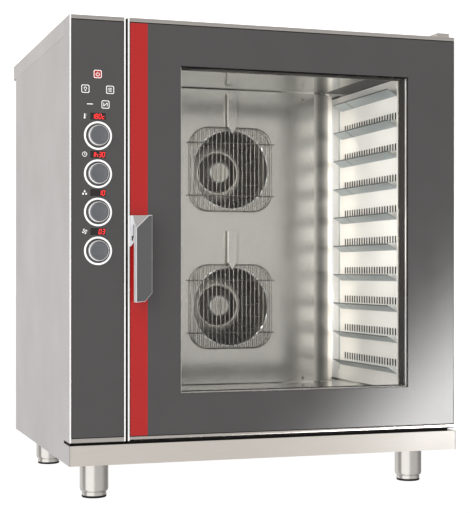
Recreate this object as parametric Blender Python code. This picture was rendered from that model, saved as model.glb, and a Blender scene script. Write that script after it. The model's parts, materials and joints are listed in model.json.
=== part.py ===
"""Combi steamer oven for ten trays: a cabinet on four feet, a side-hinged glass door with a lever handle,
a control column with four knobs and four keys, and a cavity with two fans behind a deflector panel.

Sizes are in millimetres and are turned into metres when each mesh is made. X runs across the front from the
middle of the width, Y runs back from the front face of the glass, and Z runs up from the floor. GLASS_Y moves
everything so that the finished object stands centred on the origin.
"""

import math

import bmesh
import bpy
from mathutils import Matrix, Vector

# Overall sizes
HALF_WIDTH = 495.0
HEIGHT = 1123.0
BODY_REAR = 790.0
OVERHANG_REAR = 830.0
HANDLE_REACH = 48.0
GLASS_Y = -(OVERHANG_REAR - HANDLE_REACH) / 2
PLINTH_BOTTOM = 80.0
PLINTH_TOP = 127.0
FRONT_DEPTH = 66.0
FRONT_BOTTOM = 134.0
GAP = 0.3
SHEET = 1.5

# Control column and door
CONTROL_RIGHT = -361.8
DOOR_LEFT = -357.0
DOOR_RIGHT = 494.5
DOOR_DEPTH = 56.0
TRIM_SIDE = 3.8
TRIM_END = 9.5
GLASS = 5.0
WINDOW = (-226.5, 360.8, 243.0, 1014.5)
HINGE_X = 466.0
HINGE_Y = 14.0

# Cavity
CAVITY = (-249.0, 386.0, 221.0, 1032.0)
CAVITY_FRONT = 68.4
CAVITY_REAR = 650.0
INSULATION = 38.0
DEFLECTOR_Y = 455.0
DEFLECTOR_ROLL = 80.0
FAN_X = 43.0
FAN_Z = {"upper": 810.5, "lower": 434.0}
FAN_HOLE = 109.5
GRILLE = (118.0, 116.0, 52.0)
GRILLE_Y = 446.0
RUNNER_PITCH = 80.0
RUNNERS = 10
TOP_RUNNER = 985.0

# Controls
KNOB_X = -427.8
KNOB_RADIUS = 24.0
KNOB_REACH = 15.0
KNOB_Z = {"temperature": 845.0, "time": 756.6, "humidity": 667.8, "fan_speed": 577.9}
DISPLAY_RISE = 44.6
DISPLAY = (35.0, 15.0)
KEYS = {"power": (-428.5, 987.6), "light": (-457.5, 952.3), "programs": (-399.2, 952.2), "steam": (-410.1, 917.6)}
KEY_SIZE = 20.0

# Handle
HANDLE_LEFT = -348.3
HANDLE_RIGHT = -310.2
HANDLE_BOTTOM = 458.5
HANDLE_TOP = 660.5
PIVOT_X = -331.0
PIVOT_Z = 636.0

# Feet: distance of each centre from the middle and from the front
FEET = {
    "front_left": (-426.0, 52.0),
    "front_right": (388.5, 55.0),
    "rear_left": (-428.0, 637.0),
    "rear_right": (390.0, 637.0),
}
FOOT_SLEEVE_BOTTOM = 15.0


def clear_scene():
    for obj in list(bpy.data.objects):
        bpy.data.objects.remove(obj, do_unlink=True)


def new_material(name, color, metallic, roughness, alpha=1.0):
    material = bpy.data.materials.new(name)
    material.use_nodes = True
    shader = material.node_tree.nodes["Principled BSDF"]
    shader.inputs["Base Color"].default_value = (*color, 1.0)
    shader.inputs["Metallic"].default_value = metallic
    shader.inputs["Roughness"].default_value = roughness
    shader.inputs["Alpha"].default_value = alpha
    return material


def box(mesh, x0, x1, y0, y1, z0, z1):
    """Add a closed box between the given limits."""
    corners = [Vector((x, y, z)) for z in (z0, z1) for y in (y0, y1) for x in (x0, x1)]
    verts = [mesh.verts.new(corner) for corner in corners]
    for face in ((0, 2, 3, 1), (4, 5, 7, 6), (0, 1, 5, 4), (2, 6, 7, 3), (0, 4, 6, 2), (1, 3, 7, 5)):
        mesh.faces.new([verts[index] for index in face])
    return mesh


def prism(mesh, outline, plane, low, high):
    """Add a closed prism: an outline in the plane "xz", "yz" or "xy", extruded from low to high."""
    place = {
        "xz": lambda a, b, depth: Vector((a, depth, b)),
        "yz": lambda a, b, depth: Vector((depth, a, b)),
        "xy": lambda a, b, depth: Vector((a, b, depth)),
    }[plane]
    first = [mesh.verts.new(place(a, b, low)) for a, b in outline]
    second = [mesh.verts.new(place(a, b, high)) for a, b in outline]
    mesh.faces.new(first)
    mesh.faces.new(list(reversed(second)))
    count = len(outline)
    for index in range(count):
        after = (index + 1) % count
        mesh.faces.new([first[index], second[index], second[after], first[after]])
    return mesh


def lathe(mesh, center, axis, profile, steps):
    """Add a closed body of revolution: profile lists (radius, place along the axis), ending on the axis."""
    across, up = {"y": (Vector((1, 0, 0)), Vector((0, 0, 1))), "z": (Vector((1, 0, 0)), Vector((0, 1, 0)))}[axis]
    along = {"y": Vector((0, 1, 0)), "z": Vector((0, 0, 1))}[axis]
    rings = []
    for radius, place in profile:
        base = Vector(center) + along * place
        if radius == 0:
            rings.append([mesh.verts.new(base)])
            continue
        angles = [2 * math.pi * step / steps for step in range(steps)]
        rings.append([mesh.verts.new(base + (across * math.cos(t) + up * math.sin(t)) * radius) for t in angles])
    for first, second in zip(rings, rings[1:]):
        for step in range(steps):
            after = (step + 1) % steps
            corners = [
                first[step % len(first)],
                first[after % len(first)],
                second[after % len(second)],
                second[step % len(second)],
            ]
            mesh.faces.new(list(dict.fromkeys(corners)))
    return mesh


def rounded_rectangle(half_width, half_height, radius, center=(0.0, 0.0), steps=5):
    """Return the outline of a rectangle with round corners."""
    points = []
    for corner in range(4):
        turn = corner * math.pi / 2
        sign_x = 1 if corner in (0, 3) else -1
        sign_z = 1 if corner in (0, 1) else -1
        middle_x = center[0] + sign_x * (half_width - radius)
        middle_z = center[1] + sign_z * (half_height - radius)
        for step in range(steps + 1):
            angle = turn + step * math.pi / 2 / steps
            points.append((middle_x + radius * math.cos(angle), middle_z + radius * math.sin(angle)))
    return points


def finish_mesh(mesh, name, origin):
    """Turn a bmesh in millimetres into a mesh in metres around the given origin."""
    bmesh.ops.recalc_face_normals(mesh, faces=mesh.faces[:])
    mesh.transform(Matrix.Translation(-Vector(origin)))
    mesh.transform(Matrix.Scale(0.001, 4))
    data = bpy.data.meshes.new(name)
    mesh.to_mesh(data)
    mesh.free()
    return data


def add_part(name, mesh, slot, origin=(0.0, 0.0, 0.0), smooth=False):
    """Make the named object from a bmesh in millimetres, with its origin at the given point."""
    data = finish_mesh(mesh, name, origin)
    data.materials.append(MATERIALS[slot])
    for polygon in data.polygons:
        polygon.use_smooth = smooth
    obj = bpy.data.objects.new(name, data)
    obj.location = (Vector(origin) + Vector((0, GLASS_Y, 0))) * 0.001
    bpy.context.scene.collection.objects.link(obj)
    return obj


def combine(obj, mesh, operation):
    """Join a second closed shape to the part, or cut it away."""
    tool = bpy.data.objects.new(obj.name + "_" + operation.lower(), finish_mesh(mesh, obj.name, (0, 0, 0)))
    tool.location = (0, GLASS_Y * 0.001, 0)
    tool.hide_render = True
    tool.display_type = "WIRE"
    bpy.context.scene.collection.objects.link(tool)
    modifier = obj.modifiers.new(operation.title(), "BOOLEAN")
    modifier.operation = operation
    modifier.solver = "EXACT"
    modifier.object = tool
    return obj


def cut(obj, mesh):
    return combine(obj, mesh, "DIFFERENCE")


def join(obj, mesh):
    return combine(obj, mesh, "UNION")


def ring(name, slot, outer, inner, y0, y1):
    """Make a flat frame between two outlines in the XZ plane."""
    frame = add_part(name, prism(bmesh.new(), outer, "xz", y0, y1), slot)
    return cut(frame, prism(bmesh.new(), inner, "xz", y0 - 5, y1 + 5))


def rectangle(x0, x1, z0, z1):
    return [(x0, z0), (x1, z0), (x1, z1), (x0, z1)]


MATERIALS = {
    "side_steel": new_material("side_steel", (0.62, 0.60, 0.60), 0.9, 0.42),
    "top_steel": new_material("top_steel", (0.62, 0.60, 0.60), 0.9, 0.42),
    "plinth_steel": new_material("plinth_steel", (0.66, 0.62, 0.58), 0.9, 0.40),
    "trim_steel": new_material("trim_steel", (0.72, 0.69, 0.66), 1.0, 0.30),
    "rear_steel": new_material("rear_steel", (0.55, 0.55, 0.55), 0.9, 0.5),
    "cavity_steel": new_material("cavity_steel", (0.70, 0.68, 0.63), 1.0, 0.25),
    "deflector_steel": new_material("deflector_steel", (0.68, 0.65, 0.59), 1.0, 0.35),
    "runner_steel": new_material("runner_steel", (0.55, 0.58, 0.57), 1.0, 0.35),
    "wire": new_material("wire", (0.80, 0.79, 0.75), 1.0, 0.2),
    "fan_steel": new_material("fan_steel", (0.60, 0.57, 0.52), 1.0, 0.35),
    "heater": new_material("heater", (0.16, 0.15, 0.15), 0.6, 0.5),
    "motor": new_material("motor", (0.10, 0.11, 0.12), 0.3, 0.5),
    "insulation": new_material("insulation", (0.80, 0.74, 0.52), 0.0, 0.95),
    "gasket": new_material("gasket", (0.03, 0.03, 0.03), 0.0, 0.6),
    "dark_glass": new_material("dark_glass", (0.09, 0.09, 0.09), 0.0, 0.08),
    "door_glass": new_material("door_glass", (0.09, 0.09, 0.09), 0.0, 0.08, 0.45),
    "clear_glass": new_material("clear_glass", (0.85, 0.88, 0.87), 0.0, 0.05, 0.25),
    "display": new_material("display", (0.02, 0.01, 0.01), 0.0, 0.3),
    "board": new_material("board", (0.04, 0.20, 0.10), 0.0, 0.6),
    "knob": new_material("knob", (0.28, 0.28, 0.29), 0.8, 0.35),
    "key_red": new_material("key_red", (0.60, 0.03, 0.03), 0.0, 0.25),
    "key_dark": new_material("key_dark", (0.09, 0.09, 0.09), 0.0, 0.25),
    "handle": new_material("handle", (0.22, 0.22, 0.23), 0.5, 0.35),
    "handle_base": new_material("handle_base", (0.45, 0.45, 0.45), 0.8, 0.35),
    "latch": new_material("latch", (0.55, 0.55, 0.55), 1.0, 0.35),
    "foot_steel": new_material("foot_steel", (0.60, 0.57, 0.54), 1.0, 0.25),
    "foot_rubber": new_material("foot_rubber", (0.02, 0.02, 0.02), 0.0, 0.8),
    "lamp": new_material("lamp", (0.90, 0.88, 0.80), 0.0, 0.2),
    "fitting": new_material("fitting", (0.50, 0.48, 0.42), 0.9, 0.35),
}


def build_cabinet():
    """The outer sheet metal: plinth, two sides, back, top and the frame round the cavity's mouth."""
    inner = HALF_WIDTH - SHEET - GAP
    plinth = add_part(
        "base_frame",
        box(bmesh.new(), -inner, inner, 0, BODY_REAR - SHEET - GAP, PLINTH_BOTTOM, PLINTH_TOP),
        "plinth_steel",
    )
    cut(
        plinth,
        box(
            bmesh.new(),
            -inner + SHEET,
            inner - SHEET,
            SHEET,
            BODY_REAR - 2 * SHEET - GAP,
            PLINTH_BOTTOM - 5,
            PLINTH_TOP - SHEET,
        ),
    )

    rim_bottom = HEIGHT - 40
    side = [
        (0, PLINTH_BOTTOM),
        (BODY_REAR, PLINTH_BOTTOM),
        (BODY_REAR, rim_bottom - GAP),
        (FRONT_DEPTH + GAP, rim_bottom - GAP),
        (FRONT_DEPTH + GAP, PLINTH_TOP),
        (0, PLINTH_TOP),
    ]
    edge = HALF_WIDTH - SHEET
    add_part("side_panel_left", prism(bmesh.new(), side, "yz", -HALF_WIDTH, -edge), "side_steel")
    add_part("side_panel_right", prism(bmesh.new(), side, "yz", edge, HALF_WIDTH), "side_steel")
    add_part(
        "rear_panel",
        box(bmesh.new(), -inner, inner, BODY_REAR - SHEET, BODY_REAR, PLINTH_TOP + GAP, rim_bottom - GAP),
        "rear_steel",
    )

    top = add_part(
        "top_cover",
        box(bmesh.new(), -HALF_WIDTH, HALF_WIDTH, FRONT_DEPTH + GAP, OVERHANG_REAR, rim_bottom, HEIGHT),
        "top_steel",
    )
    cut(
        top,
        box(
            bmesh.new(),
            -edge,
            edge,
            FRONT_DEPTH + GAP + SHEET,
            OVERHANG_REAR - SHEET,
            rim_bottom - 5,
            HEIGHT - SHEET,
        ),
    )

    ring(
        "front_frame",
        "cavity_steel",
        rectangle(DOOR_LEFT, inner, PLINTH_TOP + GAP, rim_bottom - GAP),
        rectangle(*CAVITY),
        FRONT_DEPTH + GAP,
        CAVITY_FRONT - GAP,
    )
    x0, x1, z0, z1 = CAVITY
    center = ((x0 + x1) / 2, (z0 + z1) / 2)
    half_width = (x1 - x0) / 2
    half_height = (z1 - z0) / 2
    ring(
        "cavity_gasket",
        "gasket",
        rounded_rectangle(half_width + 20, half_height + 20, 24, center, 4),
        rounded_rectangle(half_width + 8, half_height + 8, 12, center, 4),
        DOOR_DEPTH + GAP,
        FRONT_DEPTH,
    )


def build_cavity():
    """The welded liner, its insulation, the deflector panel and what hangs on them."""
    x0, x1, z0, z1 = CAVITY
    wall = SHEET
    liner = add_part(
        "cavity_liner",
        box(bmesh.new(), x0 - wall, x1 + wall, CAVITY_FRONT, CAVITY_REAR + wall, z0 - wall, z1 + wall),
        "cavity_steel",
    )
    cut(liner, box(bmesh.new(), x0, x1, CAVITY_FRONT - 5, CAVITY_REAR, z0, z1))

    near = wall + GAP
    far = near + INSULATION
    jacket = add_part(
        "insulation_jacket",
        box(bmesh.new(), x0 - far, x1 + far, CAVITY_FRONT, CAVITY_REAR + far, z0 - far, z1 + far),
        "insulation",
    )
    cut(
        jacket,
        box(bmesh.new(), x0 - near, x1 + near, CAVITY_FRONT - 5, CAVITY_REAR + near, z0 - near, z1 + near),
    )
    for height in FAN_Z.values():
        hole = [(0, -10), (14, -10), (14, 60), (0, 60)]
        cut(liner, lathe(bmesh.new(), (FAN_X, CAVITY_REAR, height), "y", hole, 16))
        cut(jacket, lathe(bmesh.new(), (FAN_X, CAVITY_REAR, height), "y", hole, 16))

    build_deflector()
    for level, height in FAN_Z.items():
        build_grille("fan_grille_" + level, height)
        build_fan(level, height)
    build_chute("water_chute_upper", 1020.0, FAN_Z["upper"] + GRILLE[1])
    build_chute("water_chute_lower", 642.0, FAN_Z["lower"] + GRILLE[1] + 4)
    build_rack("rack_right", x1, -1)
    build_rack("rack_left", x0, 1)

    lamp = [(0, 0), (19, 0), (19, -6), (14, -11), (0, -11)]
    add_part("cavity_lamp", lathe(bmesh.new(), (-190, 90, z1 - GAP), "z", lamp, 24), "lamp")


def build_deflector():
    """A plate in front of the fans, with both upright edges rolled back."""
    x0, x1, z0, z1 = CAVITY
    gap = 16.0
    thick = 1.5
    steps = 10
    front = []
    back = []
    for side, edge in ((1, x1 - gap), (-1, x0 + gap)):
        middle_x = edge - side * DEFLECTOR_ROLL
        middle_y = DEFLECTOR_Y + DEFLECTOR_ROLL
        for step in range(steps + 1):
            place = step if side < 0 else steps - step
            angle = math.pi / 2 * place / steps
            outer = (middle_x + side * DEFLECTOR_ROLL * math.sin(angle), middle_y - DEFLECTOR_ROLL * math.cos(angle))
            inside = DEFLECTOR_ROLL - thick
            inner = (middle_x + side * inside * math.sin(angle), middle_y - inside * math.cos(angle))
            front.append(outer)
            back.append(inner)
    outline = front + list(reversed(back))
    panel = add_part("deflector_panel", prism(bmesh.new(), outline, "xy", z0 + 5, z1 - 6), "deflector_steel")
    for height in FAN_Z.values():
        hole = [(0, -5), (FAN_HOLE, -5), (FAN_HOLE, 10), (0, 10)]
        cut(panel, lathe(bmesh.new(), (FAN_X, DEFLECTOR_Y, height), "y", hole, 48))


def build_grille(name, height):
    """A wire guard: a round-cornered frame, upright wires and two cross wires with ball ends."""
    half_width, half_height, radius = GRILLE
    wire = 3.0
    y0 = GRILLE_Y - wire / 2
    y1 = GRILLE_Y + wire / 2
    center = (FAN_X, height)
    grille = ring(
        name,
        "wire",
        rounded_rectangle(half_width, half_height, radius, center),
        rounded_rectangle(half_width - wire, half_height - wire, radius - wire, center),
        y0,
        y1,
    )
    wires = bmesh.new()
    count = 18
    for index in range(count):
        offset = (index + 1) * 2 * half_width / (count + 1) - half_width
        beyond = max(0.0, abs(offset) - (half_width - radius))
        reach = half_height - radius + math.sqrt(radius**2 - beyond**2) - wire / 2 - 0.4
        x = FAN_X + offset
        box(wires, x - wire / 2, x + wire / 2, y0 + 0.1, y1 - 0.1, height - reach, height + reach)
    join(grille, wires)
    cross = bmesh.new()
    for offset in (-72.0, 72.0):
        z = height + offset
        box(cross, FAN_X - half_width - 8, FAN_X + half_width + 8, y0 - 0.2, y1 + 0.2, z - wire / 2, z + wire / 2)
    join(grille, cross)
    return grille


def build_fan(level, height):
    """A bladed wheel on its shaft, the motor that turns it and the ring heater round it."""
    plate = 622.0
    wheel_profile = [
        (0, plate + 78),
        (7, plate + 78),
        (7, plate + 2),
        (150, plate + 2),
        (150, plate),
        (84, plate),
        (61, plate - 47),
        (57, plate - 47),
        (51, plate - 14),
        (29, plate - 12),
        (29, plate - 64),
        (27, plate - 66),
        (0, plate - 66),
    ]
    profile = [(radius, place - plate) for radius, place in wheel_profile]
    center = (FAN_X, plate, height)
    wheel = add_part("fan_wheel_" + level, lathe(bmesh.new(), center, "y", profile, 28), "fan_steel", center)
    blades = bmesh.new()
    count = 20
    for index in range(count):
        blade = bmesh.new()
        box(blade, 96, 148, -48, 1, -1, 1)
        turn = Matrix.Rotation(2 * math.pi * index / count, 4, "Y")
        blade.transform(Matrix.Translation(Vector(center)) @ turn)
        data = bpy.data.meshes.new("blade")
        blade.to_mesh(data)
        blade.free()
        blades.from_mesh(data)
        bpy.data.meshes.remove(data)
    join(wheel, blades)

    motor_front = CAVITY_REAR + SHEET + 2 * GAP + INSULATION
    motor_profile = [(0, 0), (62, 0), (62, 60), (50, 72), (50, 88), (0, 88)]
    motor = add_part(
        "fan_motor_" + level,
        lathe(bmesh.new(), (FAN_X, motor_front, height), "y", motor_profile, 24),
        "motor",
    )
    bore = [(0, -5), (7.6, -5), (7.6, 20), (0, 20)]
    cut(motor, lathe(bmesh.new(), (FAN_X, motor_front, height), "y", bore, 16))

    heater = add_part("heater_" + level, torus((FAN_X, 596, height), 174, 5, 28, 6), "heater")
    legs = bmesh.new()
    for offset in (-14.0, 14.0):
        leg = [(0, 0), (4, 0), (4, CAVITY_REAR - GAP - 596), (0, CAVITY_REAR - GAP - 596)]
        drop = -math.sqrt(174**2 - offset**2)
        lathe(legs, (FAN_X + offset, 596, height + drop), "y", leg, 8)
    join(heater, legs)


def torus(center, radius, thick, steps, sides):
    """Return a ring tube round the Y axis."""
    mesh = bmesh.new()
    rings = []
    for step in range(steps):
        turn = 2 * math.pi * step / steps
        out = Vector((math.cos(turn), 0, math.sin(turn)))
        points = []
        for side in range(sides):
            angle = 2 * math.pi * (side + 0.5) / sides
            offset = out * (radius + thick * math.cos(angle)) + Vector((0, thick * math.sin(angle), 0))
            points.append(mesh.verts.new(Vector(center) + offset))
        rings.append(points)
    for step in range(steps):
        first = rings[step]
        second = rings[(step + 1) % steps]
        for side in range(sides):
            after = (side + 1) % sides
            mesh.faces.new([first[side], second[side], second[after], first[after]])
    return mesh


def build_chute(name, top, bottom):
    """A flat water strip that ends in a point in front of the fan."""
    half = 12.5
    tip = bottom - 20
    outline = [(FAN_X - half, top), (FAN_X - half, bottom), (FAN_X, tip), (FAN_X + half, bottom), (FAN_X + half, top)]
    add_part(name, prism(bmesh.new(), outline, "xz", GRILLE_Y - 8, GRILLE_Y - 2.4), "deflector_steel")


def build_rack(name, wall_x, inward):
    """A wall sheet with one tray runner for each level, in one piece."""
    sheet = 1.5
    back = wall_x + inward * 0.5
    front = back + inward * sheet
    tip = back + inward * 28.0
    rise = 17.0
    top = TOP_RUNNER + rise + 14
    bottom = TOP_RUNNER - (RUNNERS - 1) * RUNNER_PITCH - 14
    outline = [(back, bottom), (back, top), (front, top)]
    for level in range(RUNNERS):
        z = TOP_RUNNER - level * RUNNER_PITCH
        outline += [(front, z + 1.8), (tip, z + rise + 0.9), (tip, z + rise - 0.9), (front, z)]
    outline.append((front, bottom))
    add_part(name, prism(bmesh.new(), outline, "xz", 111, 476), "runner_steel")


def build_controls():
    """The control column: its frame and glass, the board behind, four displays, four keys and four knobs."""
    z0 = FRONT_BOTTOM
    z1 = HEIGHT
    left = -HALF_WIDTH
    frame = add_part(
        "control_frame",
        box(bmesh.new(), left, CONTROL_RIGHT, 0, FRONT_DEPTH, z0, z1),
        "trim_steel",
    )
    inside = (left + TRIM_SIDE, CONTROL_RIGHT - TRIM_SIDE, z0 + TRIM_END, z1 - TRIM_END)
    cut(frame, box(bmesh.new(), inside[0], inside[1], -5, FRONT_DEPTH - SHEET, inside[2], inside[3]))

    glass = add_part(
        "control_glass",
        box(bmesh.new(), inside[0] + GAP, inside[1] - GAP, 0, GLASS, inside[2] + GAP, inside[3] - GAP),
        "dark_glass",
    )
    cutouts = bmesh.new()
    half_key = KEY_SIZE / 2 + GAP
    for x, z in KEYS.values():
        box(cutouts, x - half_key, x + half_key, -5, 15, z - half_key, z + half_key)
    width, height = DISPLAY
    for z in KNOB_Z.values():
        z_display = z + DISPLAY_RISE
        x = KNOB_X
        box(
            cutouts,
            x - width / 2 - GAP,
            x + width / 2 + GAP,
            -5,
            15,
            z_display - height / 2 - GAP,
            z_display + height / 2 + GAP,
        )
        lathe(cutouts, (x, 0, z), "y", [(0, -5), (5, -5), (5, 15), (0, 15)], 16)
    cut(glass, cutouts)

    board = add_part("control_board", box(bmesh.new(), -482, -375, 26, 28, 545, 1005), "board")
    bosses = bmesh.new()
    for z in KNOB_Z.values():
        box(bosses, KNOB_X - 7, KNOB_X + 7, 11, 27, z - 7, z + 7)
    for x, z in KEYS.values():
        box(bosses, x - 5, x + 5, 12.5, 27, z - 5, z + 5)
    join(board, bosses)

    for name, z in KNOB_Z.items():
        z_display = z + DISPLAY_RISE
        x = KNOB_X
        add_part(
            "display_" + name,
            box(bmesh.new(), x - width / 2, x + width / 2, 0.4, 9, z_display - height / 2, z_display + height / 2),
            "display",
        )
        knob = [
            (0, -KNOB_REACH),
            (KNOB_RADIUS - 3, -KNOB_REACH),
            (KNOB_RADIUS, -KNOB_REACH + 3),
            (KNOB_RADIUS, -1),
            (4, -1),
            (4, 10),
            (0, 10),
        ]
        center = (x, 0, z)
        add_part("knob_" + name, lathe(bmesh.new(), center, "y", knob, 24), "knob", center)
    for name, (x, z) in KEYS.items():
        half = KEY_SIZE / 2
        outline = rounded_rectangle(half, half, 4.5, (x, z), 3)
        slot = "key_red" if name == "power" else "key_dark"
        add_part("key_" + name, prism(bmesh.new(), outline, "xz", 0, 10), slot, (x, 0, z))


def build_door():
    """The hinged door: pan, two panes, lever handle with its base and the latch on the handle's shaft."""
    hinge = (HINGE_X, HINGE_Y, FRONT_BOTTOM)
    z0 = FRONT_BOTTOM
    z1 = HEIGHT
    frame = add_part(
        "door_frame",
        box(bmesh.new(), DOOR_LEFT, DOOR_RIGHT, 0, DOOR_DEPTH, z0, z1),
        "trim_steel",
        hinge,
    )
    x0, x1, w0, w1 = WINDOW
    cut(frame, box(bmesh.new(), x0, x1, -5, DOOR_DEPTH + 5, w0, w1))
    inside = (DOOR_LEFT + TRIM_SIDE, DOOR_RIGHT - TRIM_SIDE, z0 + TRIM_END, z1 - TRIM_END)
    cut(frame, box(bmesh.new(), inside[0], inside[1], -5, GLASS + GAP, inside[2], inside[3]))
    pocket = add_part(
        "door_pocket",
        box(bmesh.new(), inside[0], inside[1], -6, DOOR_DEPTH - SHEET, inside[2], inside[3]),
        "trim_steel",
    )
    cut(pocket, box(bmesh.new(), x0 - SHEET, x1 + SHEET, -10, DOOR_DEPTH, w0 - SHEET, w1 + SHEET))
    pocket.hide_render = True
    pocket.display_type = "WIRE"
    carve = frame.modifiers.new("Pocket", "BOOLEAN")
    carve.operation = "DIFFERENCE"
    carve.solver = "EXACT"
    carve.object = pocket

    pin_hole = 5.0 + GAP
    for base, top in ((z0 - 5, z0 + TRIM_END + 2), (z1 - TRIM_END - 2, z1 + 5)):
        hole = [(0, base), (pin_hole, base), (pin_hole, top), (0, top)]
        cut(frame, lathe(bmesh.new(), (HINGE_X, HINGE_Y, 0), "z", hole, 16))
    shaft_hole = [(0, -20), (5.4, -20), (5.4, 80), (0, 80)]
    cut(frame, lathe(bmesh.new(), (PIVOT_X, 0, PIVOT_Z), "y", shaft_hole, 16))

    glass = add_part(
        "door_outer_glass",
        box(bmesh.new(), inside[0] + GAP, inside[1] - GAP, 0, GLASS, inside[2] + GAP, inside[3] - GAP),
        "door_glass",
        hinge,
    )
    cut(glass, lathe(bmesh.new(), (PIVOT_X, 0, PIVOT_Z), "y", shaft_hole, 16))
    pane_gap = 0.5
    add_part(
        "door_inner_glass",
        box(bmesh.new(), x0 + pane_gap, x1 - pane_gap, 48, 53, w0 + pane_gap, w1 - pane_gap),
        "clear_glass",
        hinge,
    )

    pivot = (PIVOT_X, 0, PIVOT_Z)
    base_outline = [
        (-353.0, HANDLE_TOP),
        (-353.0, 588.0),
        (-344.0, 600.0),
        (-318.0, 612.0),
        (-318.0, HANDLE_TOP),
    ]
    base = add_part("handle_base", prism(bmesh.new(), base_outline, "xz", -14, -GAP), "handle_base", hinge)
    cut(base, lathe(bmesh.new(), pivot, "y", shaft_hole, 16))

    chamfer = 30.0
    corner = 17.0
    grip_outline = [
        (HANDLE_LEFT, HANDLE_BOTTOM),
        (HANDLE_RIGHT - corner, HANDLE_BOTTOM + 2),
        (HANDLE_RIGHT, HANDLE_BOTTOM + 22),
        (HANDLE_RIGHT, HANDLE_TOP),
        (HANDLE_LEFT + chamfer, HANDLE_TOP),
        (HANDLE_LEFT, HANDLE_TOP - chamfer),
    ]
    handle = add_part(
        "door_handle",
        prism(bmesh.new(), grip_outline, "xz", -HANDLE_REACH, -HANDLE_REACH + 5),
        "handle",
        pivot,
    )
    flange = box(
        bmesh.new(),
        HANDLE_LEFT + 0.2,
        HANDLE_LEFT + 5,
        -HANDLE_REACH + 1,
        -14.4,
        HANDLE_BOTTOM + 0.5,
        HANDLE_TOP - chamfer - 1,
    )
    join(handle, flange)
    hub_outline = [
        (HANDLE_LEFT + 0.4, HANDLE_TOP - 62),
        (HANDLE_RIGHT - 0.4, HANDLE_TOP - 48),
        (HANDLE_RIGHT - 0.4, HANDLE_TOP - 0.4),
        (HANDLE_LEFT + chamfer + 0.2, HANDLE_TOP - 0.4),
        (HANDLE_LEFT + 0.4, HANDLE_TOP - chamfer - 0.2),
    ]
    join(handle, prism(bmesh.new(), hub_outline, "xz", -HANDLE_REACH + 2, -14.8))
    shaft = [(0, -20), (5, -20), (5, 57), (0, 57)]
    join(handle, lathe(bmesh.new(), pivot, "y", shaft, 16))

    tongue = [
        (PIVOT_X + 9, PIVOT_Z - 9),
        (PIVOT_X + 9, PIVOT_Z + 9),
        (PIVOT_X - 18, PIVOT_Z + 7),
        (PIVOT_X - 18, PIVOT_Z - 7),
    ]
    add_part("door_latch", prism(bmesh.new(), tongue, "xz", 57.3, 62.5), "latch", pivot)


def build_hinges_and_strike():
    """The two hinge brackets with their pins, and the plate that the latch closes on."""
    x0 = 444.6
    x1 = 477.7
    bracket_top = HEIGHT + 9.5
    upper = add_part(
        "hinge_bracket_upper",
        box(bmesh.new(), x0, x1, 2, 112, HEIGHT + GAP, bracket_top),
        "trim_steel",
    )
    pin = [(0, HEIGHT - 8), (5, HEIGHT - 8), (5, HEIGHT + 3), (0, HEIGHT + 3)]
    join(upper, lathe(bmesh.new(), (HINGE_X, HINGE_Y, 0), "z", pin, 16))
    lower = add_part(
        "hinge_bracket_lower",
        box(bmesh.new(), x0, x1, 5, FRONT_DEPTH - 2, PLINTH_TOP + GAP, PLINTH_TOP + 3),
        "trim_steel",
    )
    pin = [(0, PLINTH_TOP + 2), (5, PLINTH_TOP + 2), (5, FRONT_BOTTOM + 8), (0, FRONT_BOTTOM + 8)]
    join(lower, lathe(bmesh.new(), (HINGE_X, HINGE_Y, 0), "z", pin, 16))
    add_part(
        "latch_strike",
        box(bmesh.new(), -353, -300, 63.2, FRONT_DEPTH, PIVOT_Z - 30, PIVOT_Z + 30),
        "latch",
    )


def build_feet():
    """Four feet: a sleeve under the plinth, and the levelling foot with its rubber pad inside it."""
    for name, (x, y) in FEET.items():
        sleeve = [
            (0, PLINTH_TOP - SHEET - GAP),
            (33.8, PLINTH_TOP - SHEET - GAP),
            (33.8, FOOT_SLEEVE_BOTTOM + 15),
            (30.5, FOOT_SLEEVE_BOTTOM),
            (0, FOOT_SLEEVE_BOTTOM),
        ]
        add_part("foot_sleeve_" + name, lathe(bmesh.new(), (x, y, 0), "z", sleeve, 24), "foot_steel")
        pad = [(0, FOOT_SLEEVE_BOTTOM - GAP), (29.3, FOOT_SLEEVE_BOTTOM - GAP), (29.3, 2), (27.3, 0), (0, 0)]
        add_part("foot_" + name, lathe(bmesh.new(), (x, y, 0), "z", pad, 24), "foot_rubber")


def build_services():
    """The connections on the back: water inlet, drain, steam vent and the gland where power enters."""
    fittings = {
        "water_inlet": (330, 205, 11, 22),
        "drain_outlet": (120, 160, 20, 34),
        "steam_vent": (43, 1040, 26, 30),
        "cable_gland": (-400, 190, 13, 24),
    }
    for name, (x, z, radius, reach) in fittings.items():
        profile = [(0, GAP), (radius + 6, GAP), (radius + 6, 8), (radius, 8), (radius, reach), (0, reach)]
        add_part(name, lathe(bmesh.new(), (x, BODY_REAR, z), "y", profile, 16), "fitting")


clear_scene()
build_cabinet()
build_cavity()
build_controls()
build_door()
build_hinges_and_strike()
build_feet()
build_services()
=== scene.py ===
"""Looks of the combi steamer oven: steel, glass, controls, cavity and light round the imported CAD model.

Lengths are in metres and in the frame of the CAD model. X runs across the front, Y runs back and Z runs up.
"""

import json
import math

import bmesh
import bpy
from mathutils import Matrix, Vector


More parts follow.
